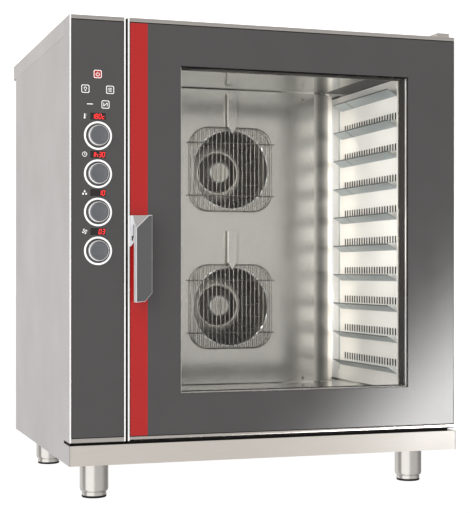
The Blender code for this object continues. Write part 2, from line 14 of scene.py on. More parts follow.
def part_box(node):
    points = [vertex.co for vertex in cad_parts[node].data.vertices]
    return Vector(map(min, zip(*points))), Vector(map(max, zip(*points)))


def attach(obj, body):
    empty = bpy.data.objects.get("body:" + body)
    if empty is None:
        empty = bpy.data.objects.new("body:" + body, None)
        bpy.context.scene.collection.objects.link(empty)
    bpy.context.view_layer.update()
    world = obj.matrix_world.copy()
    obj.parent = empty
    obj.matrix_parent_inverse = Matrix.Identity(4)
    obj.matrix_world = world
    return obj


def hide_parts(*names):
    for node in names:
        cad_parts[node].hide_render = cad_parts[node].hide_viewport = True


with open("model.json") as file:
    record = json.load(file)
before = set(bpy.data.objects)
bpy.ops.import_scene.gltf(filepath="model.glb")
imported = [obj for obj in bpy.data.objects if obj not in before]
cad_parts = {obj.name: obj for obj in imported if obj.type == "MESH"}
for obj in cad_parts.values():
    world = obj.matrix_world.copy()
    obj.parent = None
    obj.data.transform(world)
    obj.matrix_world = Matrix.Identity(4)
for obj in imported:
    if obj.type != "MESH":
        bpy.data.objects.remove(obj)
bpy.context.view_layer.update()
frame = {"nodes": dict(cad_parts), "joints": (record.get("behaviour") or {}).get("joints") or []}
NODES = frame["nodes"]
MM = 0.001

GLASS_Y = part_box("door_outer_glass")[0].y
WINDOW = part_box("door_inner_glass")
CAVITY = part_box("cavity_liner")
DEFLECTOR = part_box("deflector_panel")
LINER_WALL = 1.5 * MM
FAN_HOLE = 109.5 * MM  # radius of the deflector's two openings
LEVELS = ("upper", "lower")


# ---------------------------------------------------------------- mesh building


def mm(*points):
    """Turn points given in millimetres into metres."""
    return [tuple(value * MM for value in point) for point in points]


def middle(node):
    low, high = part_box(node)
    return (low + high) / 2


def box(mesh, low, high):
    """Add a closed box between two corners."""
    xs, ys, zs = zip(low, high)
    verts = [mesh.verts.new((x, y, z)) for z in zs for y in ys for x in xs]
    for face in ((0, 2, 3, 1), (4, 5, 7, 6), (0, 1, 5, 4), (2, 6, 7, 3), (0, 4, 6, 2), (1, 3, 7, 5)):
        mesh.faces.new([verts[index] for index in face])
    return mesh


# Where the point (a, b) of an outline lies, at a depth along the normal of its plane.
PLANES = {
    "xz": lambda a, b, depth: (a, depth, b),
    "yz": lambda a, b, depth: (depth, a, b),
    "xy": lambda a, b, depth: (a, b, depth),
}


def stitch(mesh, first, second):
    """Join two closed rows of vertices with four-sided faces."""
    for index in range(len(first)):
        after = (index + 1) % len(first)
        mesh.faces.new([first[index], first[after], second[after], second[index]])


def prism(mesh, outline, plane, low, high):
    """Add a closed prism: an outline in the plane "xz", "yz" or "xy", extruded from low to high."""
    place = PLANES[plane]
    first, second = [[mesh.verts.new(place(a, b, depth)) for a, b in outline] for depth in (low, high)]
    mesh.faces.new(first)
    mesh.faces.new(list(reversed(second)))
    stitch(mesh, first, second)
    return mesh


def band(mesh, outer, inner, plane, low, high):
    """Add a flat closed ring between two outlines that have the same number of points."""
    rows = [
        [mesh.verts.new(PLANES[plane](a, b, depth)) for a, b in outline]
        for outline, depth in ((outer, low), (outer, high), (inner, high), (inner, low))
    ]
    for row in range(4):
        stitch(mesh, rows[row], rows[(row + 1) % 4])
    return mesh


def lathe(mesh, center, axis, profile, steps=48):
    """Add a body of revolution. The profile lists (radius, place along the axis) and may end on the axis."""
    across, up, along = {
        "y": (Vector((1, 0, 0)), Vector((0, 0, 1)), Vector((0, 1, 0))),
        "z": (Vector((1, 0, 0)), Vector((0, 1, 0)), Vector((0, 0, 1))),
    }[axis]
    rings = []
    for radius, place in profile:
        base = Vector(center) + along * place
        if radius == 0:
            rings.append([mesh.verts.new(base)])
            continue
        spokes = circle((0, 0), radius, steps)
        rings.append([mesh.verts.new(base + across * a + up * b) for a, b in spokes])
    pairs = list(zip(rings, rings[1:]))
    if len(rings[0]) > 1 and len(rings[-1]) > 1:
        pairs.append((rings[-1], rings[0]))
    for first, second in pairs:
        for step in range(steps):
            after = (step + 1) % steps
            corners = [first[step % len(first)], first[after % len(first)]]
            corners += [second[after % len(second)], second[step % len(second)]]
            mesh.faces.new(list(dict.fromkeys(corners)))
    return mesh


def tube(mesh, points, radius, sides=8, closed=False):
    """Add a round wire along the points, capped at both ends unless it is closed."""
    points = [Vector(point) for point in points]
    count = len(points)
    rings = []
    side = None
    for index in range(count):
        before = points[index - 1] if closed or index else points[index]
        after = points[(index + 1) % count] if closed or index < count - 1 else points[index]
        along = (after - before).normalized()
        if side is None:
            side = along.orthogonal().normalized()
        side = (side - along * side.dot(along)).normalized()
        other = along.cross(side)
        spokes = circle((0, 0), radius, sides)
        rings.append([mesh.verts.new(points[index] + side * a + other * b) for a, b in spokes])
    for index in range(count if closed else count - 1):
        stitch(mesh, rings[index], rings[(index + 1) % count])
    if not closed:
        mesh.faces.new(list(reversed(rings[0])))
        mesh.faces.new(rings[-1])
    return mesh


def ball(mesh, center, radius):
    """Add a ball of twelve gores."""
    angles = [math.pi * step / 8 for step in range(1, 8)]
    profile = [(radius * math.sin(t), -radius * math.cos(t)) for t in angles]
    return lathe(mesh, center, "y", [(0, -radius)] + profile + [(0, radius)], 12)


def rectangle(low, high):
    return [(low[0], low[1]), (high[0], low[1]), (high[0], high[1]), (low[0], high[1])]


def front_outline(corners, margin):
    """The outline of a box seen from the front, widened by a margin all round."""
    low, high = corners
    return rectangle((low.x - margin, low.z - margin), (high.x + margin, high.z + margin))


def rounded_rectangle(center, half_width, half_height, radius, steps=8):
    points = []
    for corner, (sign_x, sign_z) in enumerate(((1, 1), (-1, 1), (-1, -1), (1, -1))):
        x = center[0] + sign_x * (half_width - radius)
        z = center[1] + sign_z * (half_height - radius)
        for step in range(steps + 1):
            angle = corner * math.pi / 2 + step * math.pi / 2 / steps
            points.append((x + radius * math.cos(angle), z + radius * math.sin(angle)))
    return points


def circle(center, radius, steps=40):
    angles = [2 * math.pi * step / steps for step in range(steps)]
    return [(center[0] + radius * math.cos(t), center[1] + radius * math.sin(t)) for t in angles]


def cell(row, column):
    """The corners of one cell of a grid, going round it."""
    return [(row, column), (row, column + 1), (row + 1, column + 1), (row + 1, column)]


# ---------------------------------------------------------------- pieces


def soften(obj, width, segments=2):
    """Round the sharp edges a little, so that they catch the light."""
    modifier = obj.modifiers.new("Bevel", "BEVEL")
    modifier.width = width
    modifier.segments = segments
    modifier.limit_method = "ANGLE"
    modifier.angle_limit = math.radians(40)
    modifier.harden_normals = True


def object_of(name, mesh):
    """Put a bmesh into the scene as an object."""
    data = bpy.data.meshes.new(name)
    mesh.to_mesh(data)
    mesh.free()
    obj = bpy.data.objects.new(name, data)
    bpy.context.scene.collection.objects.link(obj)
    return obj


def add_piece(name, mesh, material, body="cabinet", replaces=(), bevel=0.0, sharp=35.0):
    """Turn a bmesh into a shown piece that rides on a body and may stand for CAD nodes."""
    bmesh.ops.recalc_face_normals(mesh, faces=mesh.faces[:])
    for edge in mesh.edges:
        edge.smooth = not (len(edge.link_faces) == 2 and edge.calc_face_angle() > math.radians(sharp))
    for face in mesh.faces:
        face.smooth = True
    obj = object_of(name, mesh)
    for one in material if isinstance(material, (list, tuple)) else [material]:
        obj.data.materials.append(one)
    if bevel:
        soften(obj, bevel)
    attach(obj, body)
    if replaces:
        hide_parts(*replaces)
    return obj


def add_box(name, low, high, material, slot, body="cabinet", replaces=(), bevel=0.0):
    """Add a piece that is one box."""
    return add_piece(name, box(bmesh.new(), low, high), material, body, replaces, bevel)


def add_turned(name, center, axis, profile, steps, material, body="cabinet", replaces=(), sharp=35.0):
    """Add a piece that is one body of revolution."""
    mesh = lathe(bmesh.new(), center, axis, profile, steps)
    return add_piece(name, mesh, material, body, replaces, sharp=sharp)


# ---------------------------------------------------------------- materials


def set_inputs(node, values):
    for name, value in values.items():
        node.inputs[name].default_value = value


def add_node(owner, kind, values=None):
    """Add a node to a material, a world or a light, and set its inputs."""
    node = owner.node_tree.nodes.new("ShaderNode" + kind)
    set_inputs(node, values or {})
    return node


def join(owner, source, output, target, name):
    """Link a node's output to an input of another node."""
    owner.node_tree.links.new(source.outputs[output], target.inputs[name])


def new_material(name, color, metallic, roughness, values=None):
    material = bpy.data.materials.new(name)
    material.use_nodes = True
    shader = material.node_tree.nodes["Principled BSDF"]
    set_inputs(shader, {"Base Color": (*color, 1), "Metallic": metallic, "Roughness": roughness})
    set_inputs(shader, values or {})
    return material, shader


def noise(material, scale, detail=3.0, stretch=(1, 1, 1)):
    """Add object-space noise, stretched along the axes."""
    place = add_node(material, "TexCoord")
    mapping = add_node(material, "Mapping", {"Scale": stretch})
    texture = add_node(material, "TexNoise", {"Scale": scale, "Detail": detail})
    join(material, place, "Object", mapping, "Vector")
    join(material, mapping, "Vector", texture, "Vector")
    return texture


def ramp_of(owner, stops):
    """Add a colour ramp with nearly grey stops, each (position, level)."""
    ramp = add_node(owner, "ValToRGB")
    elements = ramp.color_ramp.elements
    while len(elements) > 1:
        elements.remove(elements[-1])
    elements[0].position, level = stops[0]
    elements[0].color = (level, level, level, 1)
    for position, level in stops[1:]:
        elements.new(position).color = (level, level * 0.995, level * 0.985, 1)
    return ramp


def vary_color(material, shader, texture, color, spread):
    """Drive the base colour between a darker and a lighter tone of one colour."""
    ramp = add_node(material, "ValToRGB")
    ramp.color_ramp.elements[0].position = 0.3
    ramp.color_ramp.elements[1].position = 0.7
    ramp.color_ramp.elements[0].color = (*[c * (1 - spread) for c in color], 1)
    ramp.color_ramp.elements[1].color = (*[min(1.0, c * (1 + spread)) for c in color], 1)
    join(material, texture, "Fac", ramp, "Fac")
    join(material, ramp, "Color", shader, "Base Color")


def vary_roughness(material, shader, texture, low, high):
    values = {"From Min": 0.3, "From Max": 0.7, "To Min": low, "To Max": high}
    spread = add_node(material, "MapRange", values)
    join(material, texture, "Fac", spread, "Value")
    join(material, spread, "Result", shader, "Roughness")


def bump(material, shader, texture, strength, distance=0.0002):
    node = add_node(material, "Bump", {"Strength": strength, "Distance": distance})
    join(material, texture, "Fac", node, "Height")
    join(material, node, "Normal", shader, "Normal")


def brushed(name, color, roughness, grain, spread=0.05, metallic=1.0, relief=0.06):
    """Brushed stainless steel with its fine lines along the axis "x", "y" or "z"."""
    material, shader = new_material(name, color, metallic, roughness)
    stretch = {"x": (0.012, 1, 1), "y": (1, 0.012, 1), "z": (1, 1, 0.012)}[grain]
    lines = noise(material, 900, 2.0, stretch)
    vary_color(material, shader, lines, color, spread)
    vary_roughness(material, shader, noise(material, 5), roughness - 0.04, roughness + 0.05)
    bump(material, shader, lines, relief)
    return material


# Painted shade and highlight of a rolled edge: its tone by the part of its normal that points sideways, a
# dark band where the bend would reflect dark things and a bright edge beyond it.
ROLL_PAINTED_SHADING = ((0.0, 0.57), (0.05, 0.46), (0.10, 0.30), (0.18, 0.15), (0.27, 0.12))
ROLL_PAINTED_SHADING += ((0.36, 0.16), (0.45, 0.27), (0.56, 0.42), (0.66, 1.0))


def steel_with_painted_shading(name):
    """Steel with painted shading: its tone goes from satin through a painted dark band to a painted bright
    edge, round the bend of a rolled edge.
    """
    material, shader = new_material(name, (0.6, 0.57, 0.52), 0.45, 0.42)
    place = add_node(material, "TexCoord")
    split = add_node(material, "SeparateXYZ")
    size = add_node(material, "Math")
    size.operation = "ABSOLUTE"
    ramp = ramp_of(material, ROLL_PAINTED_SHADING)
    for element in ramp.color_ramp.elements:
        level = element.color[0]
        element.color = (level, level * 0.955, level * 0.88, 1)
    join(material, place, "Normal", split, "Vector")
    join(material, split, "X", size, 0)
    join(material, size, "Value", ramp, "Fac")
    join(material, ramp, "Color", shader, "Base Color")
    vary_roughness(material, shader, noise(material, 5), 0.38, 0.46)
    return material


def moulded(name, color, roughness, spread=0.08, scale=350, relief=0.05, metallic=0.0, specular=0.5):
    """Moulded plastic, rubber or paint, with a fine texture."""
    material, shader = new_material(name, color, metallic, roughness, {"Specular IOR Level": specular})
    grain = noise(material, scale, 2.0)
    vary_color(material, shader, grain, color, spread)
    vary_roughness(material, shader, grain, roughness - 0.05, roughness + 0.05)
    bump(material, shader, grain, relief)
    return material


def printed_glass(name, color, roughness=0.17):
    """Colour printed on the back of a polished pane."""
    material, shader = new_material(name, color, 0.0, roughness, {"Specular IOR Level": 0.4})
    vary_color(material, shader, noise(material, 14, 2.0), color, 0.025)
    vary_roughness(material, shader, noise(material, 30, 2.0), roughness - 0.02, roughness + 0.02)
    return material


def clear_glass(name, color, alpha):
    material, shader = new_material(name, color, 0.0, 0.03, {"Alpha": alpha})
    vary_roughness(material, shader, noise(material, 6, 2.0), 0.02, 0.05)
    return material


def glowing(name, color, strength):
    values = {"Emission Color": (*color, 1), "Emission Strength": strength}
    material, shader = new_material(name, color, 0.0, 0.4, values)
    vary_roughness(material, shader, noise(material, 400, 2.0), 0.35, 0.45)
    return material


SIDE_STEEL = brushed("side_brushed", (0.53, 0.51, 0.502), 0.36, "y", 0.02, relief=0.02)
TOP_STEEL = brushed("top_brushed", (0.56, 0.54, 0.532), 0.36, "x", 0.025)
PLINTH_STEEL = brushed("plinth_brushed", (0.68, 0.635, 0.585), 0.40, "x", 0.03, 0.8)
TRIM_STEEL = brushed("trim_satin", (0.56, 0.525, 0.495), 0.26, "x", 0.03)
# Near-white trim steel for the uprights and the chute's lip: a painted highlight.
TRIM_PAINTED_HIGHLIGHT = brushed("trim_painted_highlight", (0.98, 0.975, 0.965), 0.30, "z", 0.01, 0.05, 0.03)
# A copy of the satin trim steel, a touch darker, for the upper rails: painted shade.
TRIM_PAINTED_SHADE = brushed("trim_upper_painted_shade", (0.55, 0.52, 0.495), 0.26, "x", 0.03)
REAR_STEEL = brushed("rear_sheet", (0.52, 0.52, 0.52), 0.45, "z", 0.05)
LINER_STEEL = brushed("liner_polished", (0.62, 0.63, 0.61), 0.16, "z", 0.04, 0.97, 0.03)
DEFLECTOR_STEEL = brushed("deflector_brushed", (0.62, 0.605, 0.565), 0.17, "z", 0.03, 0.78)
# The rolled edges of the deflector: their dark band and bright edge are painted shade and a painted
# highlight.
ROLL_STEEL_PAINTED_SHADE = steel_with_painted_shading("deflector_roll")
RUNNER_STEEL = brushed("runner_satin", (0.42, 0.465, 0.475), 0.34, "y", 0.04, 0.75)
SEAM_STEEL = brushed("runner_edge", (0.10, 0.105, 0.105), 0.4, "y", 0.05, 0.6)
WALL_STEEL = brushed("rack_wall_satin", (0.88, 0.87, 0.84), 0.34, "y", 0.03, 0.55)
# Dark polished steel for wires and screws; its dark tone also stands in for the shadows that the grille wires
# cast on the deflector: painted shade.
WIRE_STEEL = brushed("wire_polished", (0.21, 0.20, 0.185), 0.20, "z", 0.03)
RIM_STEEL = brushed("rim_polished", (0.92, 0.92, 0.90), 0.22, "z", 0.02, 0.7)
FAN_STEEL = brushed("fan_satin", (0.68, 0.65, 0.595), 0.42, "z", 0.04, 0.3)
# Near black for the well round the fan's hub: painted shade in the recess.
FAN_WELL_PAINTED_SHADE = moulded("fan_well_painted_shade", (0.06, 0.052, 0.045), 0.5)
FAN_BLADE = brushed("fan_blade", (0.17, 0.16, 0.145), 0.36, "z", 0.08, 0.7)
FAN_RIM = brushed("fan_back_plate", (0.085, 0.08, 0.072), 0.45, "z", 0.06, 0.5)
# Dark dull steel for a strip on the ceiling over each rack: a painted dark reflection.
CEILING_PAINTED_REFLECTION = brushed("ceiling_joint_dull", (0.048, 0.045, 0.042), 0.50, "y", 0.06, 0.2)
FOOT_STEEL = brushed("foot_brushed", (0.60, 0.575, 0.55), 0.22, "x", 0.03, 0.9)
SILVER = brushed("handle_silver", (0.84, 0.845, 0.87), 0.36, "z", 0.02, 0.3)
# A darker copy of the handle's silver for its slanted facet: painted shade.
SILVER_PAINTED_SHADE = brushed("handle_silver_painted_shade", (0.52, 0.51, 0.50), 0.4, "z", 0.03, 0.3)
GRAPHITE = moulded("handle_graphite", (0.105, 0.105, 0.108), 0.36, 0.06, 600, 0.03, 0.2)
KNOB_METAL = brushed("knob_brushed", (0.175, 0.18, 0.195), 0.30, "x", 0.06, 0.7)
KNOB_SIDE = brushed("knob_silver", (0.86, 0.86, 0.86), 0.28, "y", 0.03, 0.5)
DARK_PRINT = printed_glass("glass_print_dark", (0.074, 0.0715, 0.0715))
RED_PRINT = printed_glass("glass_print_red", (0.46, 0.012, 0.011))
WINDOW_CLEAR = clear_glass("glass_window_clear", (0.12, 0.12, 0.12), 0.03)
PANE_CLEAR = clear_glass("glass_inner_clear", (0.12, 0.125, 0.12), 0.03)
# The white print glows a little: painted light, to keep it bright.
PRINT_WHITE_GLOWING = glowing("print_white_painted_glow", (0.92, 0.92, 0.92), 0.3)
DIGIT_RED = glowing("digit_red", (0.90, 0.02, 0.02), 1.2)
DISPLAY_BLACK = moulded("display_black", (0.012, 0.008, 0.008), 0.15)
KEY_RED = moulded("key_red_gloss", (0.46, 0.012, 0.012), 0.2)
KEY_DARK = moulded("key_dark_gloss", (0.080, 0.077, 0.076), 0.2)
RUBBER = moulded("rubber_black", (0.012, 0.012, 0.012), 0.65, 0.2, 500, 0.2, specular=0.12)
SPACER = moulded("spacer_dark", (0.016, 0.0135, 0.012), 0.7, 0.12, 200, 0.1, specular=0.3)
SHADOW = moulded("slot_shadow", (0.008, 0.0075, 0.007), 0.9, specular=0.05)
HEATER = moulded("heater_oxide", (0.10, 0.085, 0.075), 0.5, 0.25, 220, 0.3, 0.7)
MOTOR_PAINT = moulded("motor_paint", (0.03, 0.034, 0.04), 0.5, 0.15, 300, 0.2)
WOOL = moulded("mineral_wool", (0.62, 0.54, 0.30), 0.95, 0.25, 160, 0.8)
BOARD_GREEN = moulded("board_green", (0.02, 0.13, 0.06), 0.45, 0.15, 300)
LAMP_GLASS = glowing("lamp_frosted", (0.95, 0.90, 0.78), 1.5)
NICKEL = brushed("fitting_nickel", (0.55, 0.53, 0.48), 0.28, "z", 0.06)


def paint_cad_nodes():
    """Give each CAD node that stays in view its finish, and soften the edges of the larger ones."""
    finishes = {
        SIDE_STEEL: ("side_panel_left", "side_panel_right", "control_frame"),
        TOP_STEEL: ("top_cover",),
        PLINTH_STEEL: ("base_frame",),
        TRIM_STEEL: ("door_frame", "hinge_bracket_upper", "hinge_bracket_lower"),
        REAR_STEEL: ("rear_panel",),
        LINER_STEEL: ("cavity_liner", "front_frame"),
        WOOL: ("insulation_jacket",),
        MOTOR_PAINT: ("fan_motor_upper", "fan_motor_lower"),
        BOARD_GREEN: ("control_board",),
        SILVER: ("latch_strike", "door_latch"),
        PANE_CLEAR: ("door_inner_glass",),
        DARK_PRINT: ("control_glass",),
    }
    for material, names in finishes.items():
        for name in names:
            NODES[name].data.materials.clear()
            NODES[name].data.materials.append(material)
    for name in ("control_frame", "door_frame", "base_frame", "top_cover", "hinge_bracket_upper"):
        soften(NODES[name], 0.5 * MM, 1)


# ---------------------------------------------------------------- door


def build_pane():
    """The outer glass: a grid of cells with a clear window, a red stripe at the left and the dark rest."""
    low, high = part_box("door_outer_glass")
    inset = 2.5 * MM
    stripe_right = low.x + 43.8 * MM
    columns = [low.x, stripe_right, WINDOW[0].x - inset, WINDOW[1].x + inset, high.x]
    rows = [low.z, WINDOW[0].z - inset, WINDOW[1].z + inset, high.z]
    dark, red, clear = range(3)
    mesh = bmesh.new()
    front, back = [[[mesh.verts.new((x, y, z)) for x in columns] for z in rows] for y in (low.y, high.y)]
    for row in range(3):
        for column in range(4):
            kind = clear if (row, column) == (1, 2) else red if column == 0 else dark
            for layer in (front, back):
                mesh.faces.new([layer[r][c] for r, c in cell(row, column)]).material_index = kind
    rim = [(0, c) for c in range(4)] + [(r, 4) for r in range(3)]
    rim += [(3, c) for c in range(4, 0, -1)] + [(r, 0) for r in range(3, 0, -1)]
    for (row, column), (next_row, next_column) in zip(rim, rim[1:] + rim[:1]):
        corners = [front[row][column], front[next_row][next_column]]
        corners += [back[next_row][next_column], back[row][column]]
        mesh.faces.new(corners).material_index = red if column <= 1 and next_column <= 1 else dark
    finishes = [DARK_PRINT, RED_PRINT, WINDOW_CLEAR]
    add_piece("door_glass_printed", mesh, finishes, "door", ["door_outer_glass"])


def build_window():
    """The dark spacer between the panes, its bright edge, and the border printed on the cavity side."""
    low, high = WINDOW
    pane_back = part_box("door_outer_glass")[1].y
    gap = 0.4 * MM
    over = 0.1 * MM
    outer = front_outline(WINDOW, over)
    inner = front_outline(WINDOW, -gap)
    spacer = band(bmesh.new(), outer, inner, "xz", pane_back + 8.2 * MM, low.y - 0.5 * MM)
    add_piece("window_spacer", spacer, SPACER, "door")

    strip = bmesh.new()
    y0, y1 = (pane_back + 0.3 * MM, pane_back + 8 * MM)
    for x0, x1 in ((low.x - over, low.x + gap), (high.x - gap, high.x + over)):
        box(strip, (x0, y0, low.z), (x1, y1, high.z - gap))
    box(strip, (low.x + gap, y0, low.z - over), (high.x - gap, y1, low.z + gap))
    add_piece("window_edge_strip", strip, RIM_STEEL, "door")
    # A black strip along the top of the window between the panes: painted shade.
    top = ((low.x - over, y0, high.z - gap + 0.05 * MM), (high.x + over, y1, high.z + 3 * MM))
    add_box("window_top_painted_shadow", *top, SHADOW, "trim_steel", "door")

    frame_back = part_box("door_frame")[1].y
    outer = front_outline(WINDOW, 46 * MM)
    inner = front_outline(WINDOW, gap)
    border = band(bmesh.new(), outer, inner, "xz", frame_back, frame_back + 0.2 * MM)
    add_piece("door_inner_border", border, SPACER, "door")


def build_trims():
    """The satin strips round both panes, and the dark line of glue between a strip and its glass."""
    proud = 0.5 * MM
    edge = 0.3 * MM
    glue_width = 2.0 * MM
    for frame_node, glass_node, body in (
        ("control_frame", "control_glass", "cabinet"),
        ("door_frame", "door_outer_glass", "door"),
    ):
        low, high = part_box(frame_node)
        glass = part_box(glass_node)
        uprights = bmesh.new()
        for x0, x1 in ((low.x + edge, glass[0].x), (glass[1].x, high.x - edge)):
            box(uprights, (x0, low.y - proud, low.z + edge), (x1, low.y + 0.2 * MM, high.z - edge))
        # The uprights are near white: a painted highlight along them.
        add_piece(frame_node + "_uprights", uprights, TRIM_PAINTED_HIGHLIGHT, body, bevel=0.45 * MM)
        for side, finish, z0, z1 in (
            ("lower", TRIM_STEEL, low.z + (3 if body == "door" else 0.3) * MM, glass[0].z),
            # The upper rail takes the darker copy of the steel: painted shade on its fold that faces up.
            ("upper", TRIM_PAINTED_SHADE, glass[1].z, high.z - edge),
        ):
            outline = [
                (low.y + 0.4 * MM, z0),
                (low.y - proud, z0 + 0.6 * MM),
                (low.y - proud, z0 + (z1 - z0) * 0.62),
                (low.y + 0.5 * MM, z1),
                (low.y + 1.2 * MM, z1),
            ]
            rail = prism(bmesh.new(), outline, "yz", glass[0].x - 0.2 * MM, glass[1].x + 0.2 * MM)
            add_piece(frame_node + "_rail_" + side, rail, finish, body, bevel=0.25 * MM)
        outer = front_outline(glass, 0)
        inner = front_outline(glass, -glue_width)
        glue = band(bmesh.new(), outer, inner, "xz", low.y - 0.08 * MM, low.y + 0.2 * MM)
        add_piece(frame_node + "_glue", glue, SPACER, body)


def build_gaps():
    """Black strips that paint the shade under the door, in the gap beside the column and in the gap above the
    plinth.
    """
    door_low, door_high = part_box("door_frame")
    glass_low, glass_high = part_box("door_outer_glass")
    column_low, column_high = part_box("control_frame")
    add_box(
        "door_bottom_painted_shadow",
        (glass_low.x - 0.2 * MM, door_low.y - 0.4 * MM, door_low.z + 0.1 * MM),
        (glass_high.x - 14 * MM, door_low.y + 0.2 * MM, door_low.z + 2.9 * MM),
        SHADOW,
        "gasket",
        "door",
    )
    add_box(
        "column_gap_painted_shadow",
        (column_high.x + 0.2 * MM, door_low.y + 5 * MM, door_low.z),
        (door_low.x - 0.5 * MM, door_low.y + 60 * MM, door_high.z - 2 * MM),
        SHADOW,
        "gasket",
    )
    z0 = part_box("base_frame")[1].z + 0.3 * MM
    z1 = door_low.z - 0.3 * MM
    y = door_low.y
    gap_shade = bmesh.new()
    box(gap_shade, (column_low.x + 3 * MM, y + 4 * MM, z0), (column_high.x, y + 10 * MM, z1))
    box(gap_shade, (door_low.x, y + 1 * MM, z0), (door_high.x - 22 * MM, y + 7 * MM, z1))
    add_piece("plinth_gap_painted_shadow", gap_shade, SHADOW)


def build_handle():
    low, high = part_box("door_handle")
    front = low.y
    left = low.x
    right = high.x
    bottom = low.z
    top = high.z
    pivot = Vector(next(j for j in frame["joints"] if j["name"] == "handle_turn")["pos_m"])
    chamfer = 30 * MM

    def grip(inset):
        return [
            (left + inset, bottom + inset),
            (right - 17 * MM - inset * 0.3, bottom + 2 * MM + inset * 0.7),
            (right - inset * 0.6, bottom + 22 * MM + inset * 0.3),
            (right - inset * 0.6, top - inset),
            (left + chamfer + inset * 0.4, top - inset),
            (left + inset, top - chamfer - inset * 0.4),
        ]

    shell = bmesh.new()
    prism(shell, grip(0), "xz", front + 0.8 * MM, front + 5 * MM)
    box(shell, (left, front + 4.5 * MM, bottom), (left + 4.5 * MM, front + 24.5 * MM, top - chamfer))
    lathe(shell, (pivot.x, 0, pivot.z), "y", rectangle((0, front + 6 * MM), (5 * MM, high.y)), 24)
    add_piece("handle_shell", shell, SILVER, "handle", ["door_handle"], 0.7 * MM)

    # The head of the handle: a block whose top left corner is cut off by one slanted facet.
    back = GLASS_Y - 14.8 * MM
    start = front + 1.2 * MM
    foot = top - 60 * MM
    x0 = left + 0.3 * MM
    x1 = right - 0.4 * MM
    z1 = top - 0.3 * MM
    head = bmesh.new()
    corners = [(x0, start, foot), (x1, start, foot), (x1, start, z1), (left + chamfer, start, z1)]
    corners += [(x0, start, top - chamfer), (x0, back, foot + 8 * MM), (x1, back, foot + 8 * MM)]
    for point in corners + [(x1, back, z1), (x0, back, z1)]:
        head.verts.new(point)
    bmesh.ops.convex_hull(head, input=head.verts[:])
    bmesh.ops.dissolve_limit(head, angle_limit=0.01, verts=head.verts[:], edges=head.edges[:])
    head.normal_update()
    # The slanted facet takes the darker copy of the silver: painted shade.
    for face in head.faces:
        face.material_index = int(abs(face.normal.x) > 0.2 and abs(face.normal.z) > 0.2)
    add_piece("handle_head", head, [SILVER, SILVER_PAINTED_SHADE], "handle", bevel=0.4 * MM)
    # A dark strip on the left of the head near the door: painted shade of its recessed neck.
    start = (left - 0.1 * MM, back - 9.5 * MM, foot + 8 * MM)
    end = (left + 0.6 * MM, back - 3 * MM, top - 22 * MM)
    add_box("handle_neck_painted_shadow", start, end, GRAPHITE, "handle", "handle")
    face = prism(bmesh.new(), grip(1.4 * MM), "xz", front, front + 1.2 * MM)
    add_piece("handle_face", face, GRAPHITE, "handle", bevel=0.5 * MM)

    low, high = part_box("handle_base")
    outline = [(low.x, high.z), (low.x, low.z), (low.x + 9 * MM, low.z + 12 * MM)]
    outline += [(high.x, low.z + 24 * MM), (high.x, high.z)]
    mount = prism(bmesh.new(), outline, "xz", low.y, high.y)
    add_piece("handle_mount", mount, SILVER, "door", ["handle_base"], 0.6 * MM)
    # A black mark low on the mount: painted shade of the gap under the grip's flange.
    start, end = mm((2, -0.1, 14), (5, 3, 25))
    add_box("handle_mount_painted_shadow", low + Vector(start), low + Vector(end), SHADOW, "handle_base", "door")


# ---------------------------------------------------------------- controls


SEGMENTS = {"0": "abcdef", "1": "bc", "3": "abcdg", "8": "abcdefg", "c": "deg", "h": "cefg"}


def digit(mesh, text, x, z, width, height, y):
    """Add one slanted seven-segment digit."""
    thick = height * 0.13
    half = height / 2
    slant = 0.14
    bars = {
        "a": ((0, height), (width, height)),
        "b": ((width, half), (width, height)),
        "c": ((width, 0), (width, half)),
        "d": ((0, 0), (width, 0)),
        "e": ((0, 0), (0, half)),
        "f": ((0, half), (0, height)),
        "g": ((0, half), (width, half)),
    }
    for segment in SEGMENTS[text]:
        start, end = [Vector(point) for point in bars[segment]]
        along = (end - start).normalized()
        across = Vector((-along.y, along.x)) * thick / 2
        start += along * thick * 0.35
        end -= along * thick * 0.35
        tips = [start - along * thick * 0.3, end + along * thick * 0.3]
        outline = [tips[0], start - across, end - across, tips[1], end + across, start + across]
        placed = [(x + p.x + p.y * slant, z + p.y) for p in outline]
        prism(mesh, placed, "xz", y - 0.15 * MM, y + 0.1 * MM)


def build_displays():
    texts = {"temperature": "180c", "time": "1h30", "humidity": "10", "fan_speed": "03"}
    width = 5.0 * MM
    pitch = 8.1 * MM
    height = 10.8 * MM
    for name, text in texts.items():
        node = "display_" + name
        low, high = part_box(node)
        window = box(bmesh.new(), low, high)
        add_piece("display_window_" + name, window, DISPLAY_BLACK, "cabinet", [node], 0.3 * MM)
        start = high.x - 2.6 * MM - len(text) * pitch + (pitch - width)
        digits = bmesh.new()
        for index, letter in enumerate(text):
            digit(digits, letter, start + index * pitch, low.z + 2.1 * MM, width, height, low.y)
        add_piece("digits_" + name, digits, DIGIT_RED)


def printed(mesh, outline, y):
    """Add a thin flat mark on a face that looks forward."""
    prism(mesh, outline, "xz", y - 0.15 * MM, y + 0.05 * MM)


